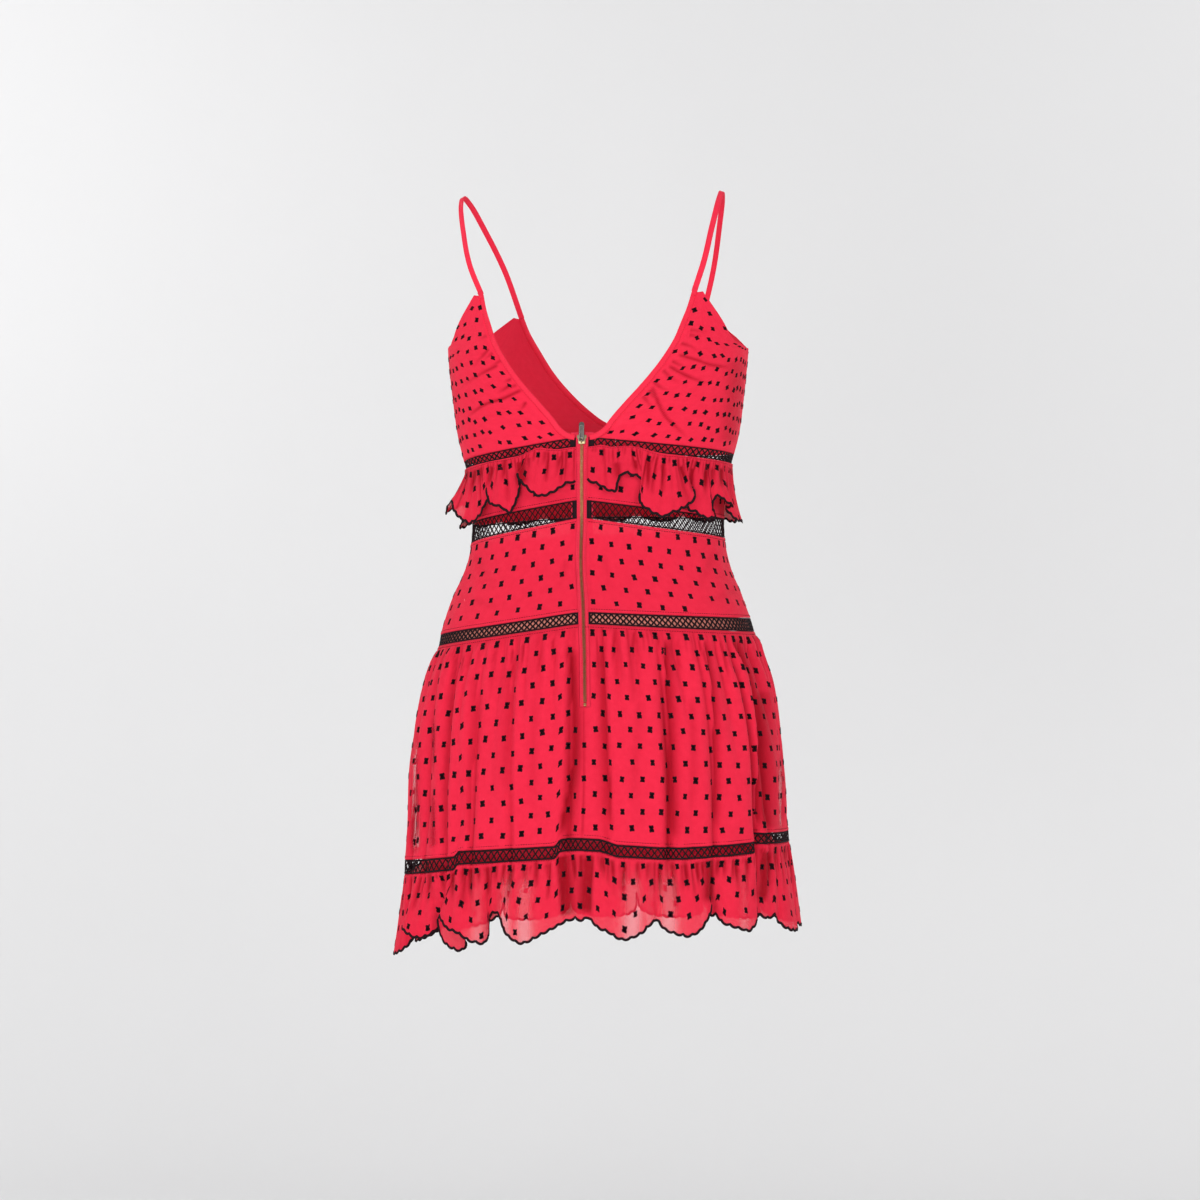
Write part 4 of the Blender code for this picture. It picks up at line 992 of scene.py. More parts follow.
@dataclass(frozen=True)
class Bodice:
    """The gathered back panels, the plain front panels, the neck binding and the straps."""

    binding_width: float = 6.0
    binding_thick: float = 2.0
    binding_proud: float = 0.5
    binding_gap: float = 0.6
    cover: float = 0.94
    strap_width: float = 6.0
    strap_thick: float = 1.5
    strap_gap: float = 0.8
    end_step: float = 0.03
    side_top: float = -163.0
    side_lap: float = 1.2
    side_dip: float = 0.7
    tuck: float = 1.3
    gather_from: float = 0.24
    rows: int = 112
    columns: int = 100
    front_grid: tuple[int, int] = (60, 40)
    front_foot: float = 0.16
    dart: float = 1.4
    spot_ring: float = 140.0
    first_spots: float = 7.0
    fine: int = 400
    back_cut: tuple[float, float] = (0.225, 0.185)
    front_cut: tuple[float, float] = (0.215, 0.175)
    back_area: float = 0.0235
    front_area: float = 0.0205
    back_neck: Rows = (
        (7.0, -256.4), (14.0, -254.6), (22.0, -249.0), (29.0, -240.0), (43.0, -224.0), (57.6, -208.0),
        (71.0, -192.0), (83.0, -175.0), (92.0, -159.0), (98.0, -143.0), (104.0, -126.0), (108.0, -110.0),
    )
    back_armhole: Rows = (
        (149.0, -159.0), (144.0, -151.0), (140.5, -143.0), (135.3, -134.0), (130.0, -126.0),
        (124.5, -118.0), (119.0, -110.0),
    )
    front_neck: Rows = (
        (0.2, -236.0), (12.0, -231.0), (30.0, -218.0), (50.0, -199.0), (68.0, -177.0), (82.0, -153.0),
        (92.0, -133.0), (97.0, -118.0),
    )
    front_armhole: Rows = (
        (151.0, -158.0), (143.0, -149.0), (132.0, -139.0), (120.0, -128.0), (108.0, -118.0),
    )
    strap_path: Rows = (
        (66.0, -82.0, 122.5, 119.0), (45.0, -42.0, 134.5, 125.5), (18.0, -9.0, 142.5, 130.0),
        (0.0, 0.0, 144.0, 130.5), (-22.0, -5.0, 141.0, 128.5), (-52.0, -29.0, 131.0, 122.0),
        (-84.0, -70.0, 115.0, 112.0),
    )
    shoulder: tuple[float, float, float] = (96.0, -8.0, -95.0)
    # The back panels' gathers: each crease's tone is painted shade in its groove.
    gathers: tuple[Crease, ...] = (
        Crease(0.5, 1.6, 1.6, ((487, 336), (482, 338), (478, 340)), tone=0.6),
        Crease(0.9, 1.6, 1.6, ((489, 349), (481, 358), (471, 370)), tone=0.8),
        Crease(0.6, 1.6, 1.6, ((502, 359), (494, 365), (484, 371)), tone=0.7),
        Crease(1.0, 1.6, 1.6, ((498, 365), (481, 374), (463, 386), (453, 394)), tone=0.9),
        Crease(0.9, 1.6, 1.6, ((511, 379), (507, 381), (502, 383)), tone=0.9),
        Crease(1.1, 1.6, 1.6, ((509, 386), (503, 390), (496, 394)), tone=1.0),
        Crease(1.5, 1.6, 1.6, ((521, 390), (502, 399), (486, 404), (474, 412), (462, 424)), 0.5, 1.0),
        Crease(1.1, 1.6, 1.6, ((526, 402), (523, 407), (519, 413)), tone=1.0),
        Crease(0.6, 1.6, 1.6, ((493, 353), (488, 357), (482, 362)), tone=0.6),
        Crease(0.7, 1.6, 1.6, ((516, 385), (511, 387), (504, 391)), tone=0.7),
        Crease(0.6, 1.6, 1.6, ((690, 330), (700, 331), (713, 332)), tone=0.6),
        Crease(0.8, 1.6, 1.6, ((689, 335), (697, 336), (705, 337)), tone=0.7),
        Crease(0.9, 1.6, 1.6, ((681, 343), (694, 348), (702, 354)), tone=0.8),
        Crease(1.2, 1.6, 1.6, ((679, 355), (697, 360), (708, 364), (725, 367), (739, 369)), 0.4, 0.9),
        Crease(1.0, 1.6, 1.6, ((672, 361), (683, 366), (690, 367)), tone=0.9),
        Crease(1.4, 1.6, 1.6, ((669, 366), (681, 373), (697, 380), (713, 385)), 0.6, 1.0),
        Crease(1.0, 1.6, 1.6, ((663, 370), (671, 378), (684, 385)), tone=0.9),
        Crease(0.9, 1.6, 1.6, ((654, 382), (660, 387), (674, 391)), tone=0.9),
        Crease(1.7, 1.6, 1.6, ((652, 387), (659, 404), (666, 417), (674, 425), (684, 435), (690, 445)),
               0.5, 1.0),
        Crease(1.1, 1.6, 1.6, ((649, 390), (653, 396), (658, 403)), tone=0.9),
        Crease(1.0, 1.6, 1.6, ((643, 396), (649, 404), (655, 410)), tone=0.9),
        # Only painted shade: dark bands down the shaded sides of the back panels.
        Crease(0.0, 9.0, 14.0, ((736, 360), (732, 400), (727, 446)), 0.1, 0.5),
        Crease(0.0, 6.0, 5.0, ((447, 360), (452, 400), (457, 446)), 0.1, 0.3),
    )

    def edge_line(self, edge: Rows, shares: Array) -> tuple[Array, ...]:
        """Points at shares of an edge's length: across, height, and the unit step off it."""
        across, height = columns_of(edge)
        lengths = np.concatenate([[0], np.cumsum(np.hypot(np.diff(across), np.diff(height)))])
        fine = np.linspace(0, lengths[-1], self.fine)
        across, height = smooth(fine, lengths, across), smooth(fine, lengths, height)
        step_x, step_z = np.gradient(across), np.gradient(height)
        size = np.hypot(step_x, step_z)
        stops = np.asarray(shares, float) * lengths[-1]
        return tuple(np.interp(stops, fine, v) for v in (across, height, step_z / size, -step_x / size))

    def neck_line(self, face: Face, shares: Array, inset: float, side: Side) -> tuple[Array, Array]:
        """A line that runs a step inside the neck edge: turns and heights, above the lace."""
        front = face is Face.FRONT
        across, height, off_x, off_z = self.edge_line(self.front_neck if front else self.back_neck, shares)
        across, height = across + inset * off_x, height + inset * off_z
        if front:
            across = np.where(np.asarray(shares) == 0, SEAM_GAP / 2, across)
        turns = FIGURE.turn_at(across, height)
        turns = math.pi - turns if front else turns
        return turns, np.maximum(height, SEAMS.height("bust_lace_top", side.value * turns) + SEAM_GAP / 2)

    def panel_start(self, side: Side) -> float:
        """The share of the back neck edge where the panel's corner meets the bust lace."""
        shares = np.linspace(0, self.gather_from, self.fine)
        turns, heights = self.neck_line(Face.BACK, shares, self.binding_width + self.binding_gap, side)
        above = heights - SEAMS.height("bust_lace_top", side.value * turns) > SEAM_GAP
        return float(shares[np.argmax(above)])

    def outer_edge(self, face: Face, side: Side, shares: Array) -> tuple[Array, Array]:
        """The side seam and the armhole as one line: turns and heights."""
        depth = float(FIGURE.size(self.side_top, 2))
        low_turn = math.pi / 2 + (self.side_lap if face is Face.FRONT else -SEAM_GAP / 2) / depth
        bottom = float(SEAMS.height("bust_lace_top", side.value * math.pi / 2)) + SEAM_GAP
        across, height = columns_of(self.front_armhole if face is Face.FRONT else self.back_armhole)
        turns = np.concatenate([[low_turn, low_turn], FIGURE.turn_at(across, height)])
        heights = np.concatenate([[bottom, self.side_top], height])
        lengths = np.concatenate([[0], np.cumsum(np.hypot(np.diff(turns) * depth, np.diff(heights)))])
        stops = shares * lengths[-1]
        turns, heights = np.interp(stops, lengths, turns), np.interp(stops, lengths, heights)
        return (math.pi - turns if face is Face.FRONT else turns), heights

    def panel(self, face: Face, side: Side) -> tuple[Surface, Array]:
        """A panel between its inner and outer edges: straight steps from one to the other.

        Args:
            face: back or front.
            side: which of the two.

        Returns:
            Its surface, and each point's turn.
        """
        count, columns = (self.rows, self.columns) if face is Face.BACK else self.front_grid
        shares = np.linspace(0, 1, count)
        start = 0.0 if face is Face.FRONT else self.panel_start(side)
        if face is Face.FRONT:
            neck_shares = np.clip((shares - self.front_foot) / (1 - self.front_foot), 0, 1)
        else:
            neck_shares = start + (1 - start) * shares
        in_turn, in_height = self.neck_line(face, neck_shares, self.binding_width - self.tuck, side)
        if face is Face.FRONT:
            seam = SEAMS.height("bust_lace_top", side.value * in_turn[0]) + SEAM_GAP
            foot = seam + (in_height[0] - seam) * shares / self.front_foot
            in_height = np.where(shares < self.front_foot, foot, in_height)
        out_turn, out_height = self.outer_edge(face, side, shares)
        u, v = np.linspace(0, 1, columns)[None, :], shares[:, None]
        turns = side.value * (in_turn[:, None] + (out_turn - in_turn)[:, None] * u)
        heights = in_height[:, None] + (out_height - in_height)[:, None] * u
        seam = SEAMS.height("bust_lace_top", turns[0]) + SEAM_GAP
        heights = heights + (seam - heights[0])[None, :] * (1 - v) ** 2
        flat = FIGURE.place(turns, heights)
        under = 0.45 * (1 - ease((u - 0.015) / 0.03))
        if face is Face.BACK:
            # Tone is painted shade in the gathers.
            press, tone, _ = creased(flat, self.gathers)
            ruck = 0.3 * np.sin(heights * 0.8 + turns * 9) * np.clip(1 - u * 1.6, 0, 1)
            out = (0.5 - 0.6 * press + ruck) * ease((u - 0.02) / 0.05) * ease((1 - u) / 0.05) - under
        else:
            # A dart down the middle of the front: pressed in, with painted shade along it.
            tone = np.exp(-((u - 0.5) / 0.02) ** 2) * np.clip(1 - v / 0.5, 0, 1)
            under = under + self.side_dip * (1 - ease((1 - u) / 0.03))
            out = 0.3 * np.sin(turns * 17 + heights * 0.05) * ease(u / 0.05) - self.dart * tone - under
        points = FIGURE.place(turns, heights, out)[::-1]
        turns, tone = turns[::-1], 0.9 * tone[::-1]
        if turns[count // 2, -1] < turns[count // 2, 0]:
            points, turns, tone = points[:, ::-1], turns[:, ::-1], tone[:, ::-1]
        return Surface(points, False, tone, np.full(tone.shape, self.cover)), turns

    def binding_path(self, face: Face, side: Side) -> Path:
        """The middle of the binding from the zip or centre front up to the strap."""
        shares = np.linspace(0, 1, 90)
        turns, heights = self.neck_line(face, shares, self.binding_width / 2, side)
        points = FIGURE.place(side.value * turns, heights, self.binding_proud)
        out = FIGURE.place(side.value * turns, heights, self.binding_proud + 1)
        return points, unit(out - points)

    def folded(self, width: float, thick: float) -> Array:
        """A folded strip's profile: out along the face, round the fold and back behind it."""
        half, deep = width / 2, thick / 2
        face = [(-half, 0.0), (-half * 0.86, deep * 0.9), (-half * 0.5, deep), (0, deep * 0.92),
                (half * 0.5, deep), (half * 0.86, deep * 0.9), (half, 0.0)]
        back = [(half * 0.86, -deep * 0.9), (0, -deep), (-half * 0.8, -deep * 0.9), (-half, -0.12)]
        return np.array(face + back)

    def strap_end(self, side: Side, face: Face) -> Array:
        """The underside of a strap's end, in line with the binding and just clear of it."""
        last, before = [], []
        for inset in (0.0, self.binding_width):
            turns, heights = self.neck_line(face, np.array([1.0, 1.0 - self.end_step]), inset, side)
            ends = FIGURE.place(side.value * turns, heights, self.binding_proud - self.strap_thick)
            last.append(ends[0])
            before.append(ends[1])
        middle = np.mean(last, axis=0)
        along = middle - np.mean(before, axis=0)
        return middle + along * self.strap_gap / np.linalg.norm(along)

    def strap_line(self, side: Side) -> Path:
        """The middle of a strap over the shoulder, with its outward normals."""
        depth, height, left, right = columns_of(self.strap_path)
        across = side.value * (left if side is Side.LEFT else right)
        route = np.stack([across, depth, height], axis=1)
        back, front = ([self.strap_end(side, face)] for face in (Face.BACK, Face.FRONT))
        route = np.concatenate([back, route, front])
        lengths = run_lengths(route)
        stops = np.linspace(0, lengths[-1], 90)
        path = np.stack([smooth(stops, lengths, values) for values in route.T], axis=1)
        tangent = unit(np.gradient(path, axis=0))
        away = path - np.array(self.shoulder) * np.array([side.value, 1, 1])
        away = unit(away - np.sum(away * tangent, axis=1)[:, None] * tangent)
        return path + away * self.strap_thick / 2, away

    def build(self) -> None:
        """Every piece of the bodice, with its stitches and spots."""
        for side in Side:
            for face in Face:
                self.build_panel(face, side)
                self.build_binding(face, side)
            self.build_strap(side)

    def build_panel(self, face: Face, side: Side) -> None:
        """One panel with its spots."""
        name = "bodice_%s_%s" % (face.value, side.word)
        surface, turns = self.panel(face, side)
        panel = crepe_piece(name, surface)
        back = face is Face.BACK
        spots = Spots(width=5.0, tall=5.1, across=13.8, down=14.4, swing=0.5, squash=0.14)
        places = self.spot_places(surface, turns, spots, 1.7 if back else 3.0)
        dots = spots.build(name, surface, places, 5)

    def spot_places(self, surface: Surface, turns: Array, spots: Spots, near: float) -> tuple[Array, Array]:
        """Grid places nearest to rows of spots that keep even steps above the lace seam.

        Args:
            surface: the panel.
            turns: its points' turns.
            spots: how far apart the spots are.
            near: how near a grid place must be, in mm.

        Returns:
            Rows and columns, clear of the panel's edges.
        """
        heights = surface.points[..., 2]
        above = heights - SEAMS.height("bust_lace_top", turns)
        round_it = turns * self.spot_ring
        found_rows, found_columns = [], []
        low, high = round_it.min(), round_it.max()
        for order, level in enumerate(np.arange(self.first_spots, above.max(), spots.down)):
            places = np.arange(low + (order % 2) * spots.across / 2, high, spots.across)
            places = places + 2.2 * np.sin(places * 1.7 + order * 2.1)
            level = level + 1.6 * np.sin(places * 0.9 + order)
            gap = (round_it[..., None] - places) ** 2 + (above[..., None] - level) ** 2
            nearest = gap.reshape(-1, len(places)).argmin(axis=0)
            close = gap.reshape(-1, len(places)).min(axis=0) < near ** 2
            rows, columns = np.unravel_index(nearest[close], heights.shape)
            found_rows.append(rows)
            found_columns.append(columns)
        rows, columns = np.concatenate(found_rows), np.concatenate(found_columns)
        count, wide = heights.shape
        inside = (rows > 2) & (rows < count - 4) & (columns > 2) & (columns < wide - 2)
        return rows[inside].astype(float), columns[inside].astype(float)

    def fold_strip(self, name: str, path: Array, normals: Array, width: float, thick: float):
        """One folded strip along a path, settled for the node of its name."""
        strip = carried("strip_" + name, [(path, normals)], self.folded(width, thick), ring=False)
        return settle(strip, BINDING, [name])

    def sew_strip(self, name: str, line: Path, beside: float, lift: float) -> None:
        """A row of stitches near each edge of a folded strip.

        Args:
            name: of the node that it stands for.
            line: its middle, with normals.
            beside: mm from the middle to each row.
            lift: mm that the rows stand off that line.
        """
        path, normals = line
        off = np.cross(unit(np.gradient(path, axis=0)), normals)
        lines = [(path + off * step + normals * lift, normals) for step in (-beside, beside)]
        sewn = settle(stitches("stitches_" + name, lines, *EDGE_STITCH), RED_THREAD)

    def build_binding(self, face: Face, side: Side) -> None:
        """The folded binding along one half of the neck edge, with its edge stitches."""
        name = "neck_binding_%s_%s" % (face.value, side.word)
        path, normals = self.binding_path(face, side)
        strip = self.fold_strip(name, path - normals * self.binding_thick / 2, normals,
                                self.binding_width, self.binding_thick - 0.1)
        self.sew_strip(name, (path, normals), 2.1, -0.08)

    def build_strap(self, side: Side) -> None:
        """One folded strap, sewn flat over the bindings' ends."""
        name = "strap_" + side.word
        path, normals = self.strap_line(side)
        strip = self.fold_strip(name, path, normals, self.strap_width, self.strap_thick - 0.05)
        laps = carried("laps_" + name, [self.lap(side, face, path, normals) for face in Face],
                       oval(self.strap_width + 0.6, 0.9, 8))
        settle(laps, BINDING)
        self.sew_strip(name, (path, normals), 2.0, self.strap_thick / 2 - 0.1)

    def lap(self, side: Side, face: Face, strap: Array, normals: Array) -> Path:
        """The strap's end where it is turned under and sewn flat over the end of the binding."""
        bound, bound_normals = self.binding_path(face, side)
        end = slice(1, None, -1) if face is Face.BACK else slice(-2, None)
        outer = strap[end] + normals[end] * self.strap_thick / 2
        points = np.concatenate([outer, bound[:-4:-1]])
        above = np.concatenate([normals[end], bound_normals[:-4:-1]])
        return points + above * 0.1, above


@dataclass(frozen=True)
class Band:
    """A fitted ring between two seams, open where the zip runs."""

    top: str
    low: str
    columns: int
    rows: int
    out: float = 0.0
    wander: float = 0.0
    cover: float = 0.85
    creases: tuple[Crease, ...] = ()

    def surface(self) -> Surface:
        """Rows at even shares between the seams, the ends squeezed clear of the zip."""
        even = np.linspace(0, FULL, self.columns + 1)
        whole = getattr(SEAMS, self.top)[0] - getattr(SEAMS, self.low)[0]
        shares = row_shares(self.rows, whole) if self.wander else np.linspace(0, 1, self.rows)
        shares = shares[:, None]
        half = FIGURE.size(SEAMS.between(self.top, self.low, even, shares), 1)
        gap = WELT_HALF / half
        turns = gap + (FULL - 2 * gap) * even / FULL
        heights = SEAMS.between(self.top, self.low, turns, shares)
        soft = np.sin(math.pi * shares)
        waves = np.sin(turns * 11 + heights * 0.06) + 0.6 * np.sin(turns * 23 - heights * 0.11)
        sway = self.wander * soft * waves
        sway = sway + (seam_lip(shares * whole, whole) if self.wander else 0.0)
        sway = sway + welt((np.minimum(turns, FULL - turns) - gap) * half)
        flat = FIGURE.place(turns, heights, self.out + sway)
        inside = EYE.facing(turns) * ease(shares / 0.04) * ease((1 - shares) / 0.04)
        # Tone is painted shade in the creases, on the cloth that faces the camera.
        press, tone, _ = creased(flat, self.creases)
        points = FIGURE.place(turns, heights, self.out + sway - press * inside)
        return Surface(points, False, tone * inside, np.full(turns.shape, self.cover))


@dataclass(frozen=True)
class Lattice:
    """Black lattice lace: crossing waves of thread between two corded edges."""

    pitch: float
    rows: int
    edge: float
    cord: float
    thick: float = 0.7
    sharp: float = 0.75
    fine: int = 10

    def paths(self, surface: Surface, start: float = 0.0, end: float = 0.0) -> list[Path]:
        """Wave lines whose peaks meet: each is a level plus half a step of a rounded zigzag.

        Args:
            surface: the band that the lace follows.
            start: mm left out at the band's first end.
            end: mm left out at its last end.

        Returns:
            A path for each wave.
        """
        along = surface.measure(surface.points.shape[0] // 2)
        depth = np.linalg.norm(surface.points[-1] - surface.points[0], axis=1).mean()
        inset = self.edge / depth
        count = max(int(round((along[-1] - start - end) / self.pitch)), 1)
        phase = np.linspace(0, count, count * self.fine + 1)
        places = start + phase * (along[-1] - start - end) / count
        columns = np.interp(places, along, np.arange(len(along)))
        found = []
        for order in range(self.rows + 1):
            wave = np.cos(FULL * (phase + 0.5 * order))
            wave = self.sharp * np.arcsin(wave * 0.98) / math.asin(0.98) + (1 - self.sharp) * wave
            share = (order + 0.5 + 0.5 * wave) / (self.rows + 1)
            share = inset + (1 - 2 * inset) * share
            lift = -self.thick / 2 - 0.12 * (order % 2)
            path = surface.line(share * (surface.points.shape[0] - 1), columns, lift)
            found.append((path[0][:-1], path[1][:-1]) if surface.closed else path)
        return found

    def edges(self, surface: Surface) -> list[Path]:
        """The corded edges, just inside the band's top and low edges."""
        return [seam_path(surface, sign * self.edge / 2, 2.0, -self.thick / 2) for sign in (1, -1)]


@dataclass(frozen=True)
class LaceBand:
    """One lace insertion: its lattice and its corded edges."""

    name: str
    nodes: tuple[str, ...]
    lattice: Lattice
    flat: tuple[float, float]
    ends: float = 0.0

    def build(self, surface: Surface) -> None:
        """The lace on its band, as one mesh of waves and edges, with solid ends at the zip."""
        lattice = self.lattice
        loop = surface.closed
        net = carried("waves_" + self.name, lattice.paths(surface, self.ends, self.ends),
                      oval(lattice.cord, lattice.thick, 4), loop=loop)
        edge = carried("edges_" + self.name, lattice.edges(surface),
                       oval(lattice.edge * 1.15, lattice.thick * 1.2, 6), loop=loop)
        parts = [net, edge]
        if self.ends:
            rows = np.linspace(0, surface.points.shape[0] - 1, 12)
            along = surface.measure(0)
            for place in (self.ends / 2, along[-1] - self.ends / 2):
                column = np.interp(place, along, np.arange(len(along)))
                path = surface.line(rows, np.full(12, column), -lattice.thick / 2)
                shape = oval(self.ends * 1.1, lattice.thick * 1.1, 8)
                parts.append(carried("end_" + self.name, [path], shape))
        lace = joined("lace_" + self.name, parts)
        settle(lace, LACE, self.nodes)


def values_of(items: Sequence, key: str, kind: type, width: int = 1) -> Array:
    """A value of every item of a mesh, one item a row."""
    values = np.empty(len(items) * width, kind)
    items.foreach_get(key, values)
    return values.reshape(-1, width)


def joined(name: str, parts: Sequence[bpy.types.Object]) -> bpy.types.Object:
    """Several objects made one, with the first one's map kept."""
    meshes = [part.data for part in parts]
    sizes = [len(mesh.vertices) for mesh in meshes]
    starts = np.concatenate([[0], np.cumsum(sizes)[:-1]])
    points, by_count, maps = [], {}, {}
    for mesh, start in zip(meshes, starts):
        points.append(values_of(mesh.vertices, "co", np.float32, 3))
        corners, totals, firsts = (values_of(items, key, np.int32)[:, 0] for items, key in (
            (mesh.loops, "vertex_index"), (mesh.polygons, "loop_total"), (mesh.polygons, "loop_start")))
        uv = values_of(mesh.uv_layers["cloth"].data, "uv", np.float32, 2)
        for count in np.unique(totals):
            index = firsts[totals == count][:, None] + np.arange(count)
            by_count.setdefault(count, []).append(corners[index] + start)
            maps.setdefault(count, []).append(uv[index].reshape(-1, 2))
    faces = [np.concatenate(by_count[count]) for count in by_count]
    uv = np.concatenate([np.concatenate(maps[count]) for count in by_count])
    for part in parts:
        mesh = part.data
        bpy.data.objects.remove(part)
        bpy.data.meshes.remove(mesh)
    return new_mesh(name, np.concatenate(points) / MM, faces, uv)


@dataclass(frozen=True)
class Torso:
    """The fitted bands under the bust, round the waist and over the hips, with their lace."""

    midriff: Band = Band("bust_lace_low", "waist_lace_top", 260, 16, wander=0.35)
    waist: Band = Band("waist_lace_top", "waist_lace_low", 360, 9)
    # The yoke's creases; their tone is painted shade.
    yoke: Band = Band("waist_lace_low", "hip_lace_top", 290, 24, wander=0.5, creases=(
        Crease(0.9, 3.0, 3.0, ((566, 560), (562, 580), (556, 600)), tone=0.25),
        Crease(0.8, 3.0, 3.0, ((603, 556), (609, 580), (618, 604)), tone=0.2),
        Crease(0.9, 4.0, 4.0, ((476, 556), (486, 575), (500, 596)), tone=0.2),
        Crease(1.0, 4.0, 4.0, ((714, 552), (705, 575), (690, 598)), tone=0.25),
        Crease(0.7, 3.5, 3.5, ((470, 600), (495, 605), (524, 606)), tone=0.2),
        Crease(0.7, 3.5, 3.5, ((738, 590), (712, 600), (686, 606)), tone=0.2),
    ))
    hip: Band = Band("hip_lace_top", "hip_lace_low", 400, 7)
    backing: Band = Band("hip_lace_top", "hip_lace_low", 200, 5, out=-1.5)
    bust_lattice: Lattice = Lattice(6.9, 1, 1.3, 2.1)
    waist_lattice: Lattice = Lattice(6.2, 3, 1.5, 1.5, thick=0.6)
    hip_lattice: Lattice = Lattice(6.1, 2, 1.5, 2.3, thick=0.6, sharp=0.4)

    def bust_surface(self, side: Side) -> Surface:
        """Half of the bust lace's band, from the zip to the centre front."""
        start = ZIP_HALF / float(FIGURE.size(SEAMS.bust_lace_top[0], 1))
        end = math.pi - SEAM_GAP / 2 / float(FIGURE.size(SEAMS.bust_lace_top[0], 3))
        turns = side.value * np.linspace(start, end, 200)
        if side is Side.RIGHT:
            turns = turns[::-1]
        shares = np.linspace(0, 1, 7)[:, None]
        return Surface(FIGURE.place(turns, SEAMS.between("bust_lace_top", "bust_lace_low", turns, shares)))

    def build(self) -> None:
        """The bands with their spots, and the lace between them."""
        for side in Side:
            name = "bust_lace_" + side.word
            lace = LaceBand(name, (name,), self.bust_lattice, (0.0105, 0.385), ends=6.0)
            lace.build(self.bust_surface(side))
        self.build_cloth("midriff_band", self.midriff, 8.0)
        lace = LaceBand("waist", ("waist_lace",), self.waist_lattice, (0.019, 0.70), 5.0)
        lace.build(self.waist.surface())
        self.build_cloth("hip_yoke", self.yoke, 7.0)
        LaceBand("hip", ("hip_lace",), self.hip_lattice, (0.0125, 0.84), 2.0).build(self.hip.surface())
        net = cloth_mesh("net_hip", self.backing.surface())
        settle(net, NET, ["hip_lace_backing"])

    def build_cloth(self, name: str, band: Band, margin: float) -> None:
        """One dotted band with its spots, and stitches beside the lace above and below."""
        surface = band.surface()
        cloth = crepe_piece(name, surface)
        spots = Spots()
        dots = spots.build(name, surface, spots.lay(surface, (margin, 5.0), seed=11), 12)
        seam_rows(name, surface)


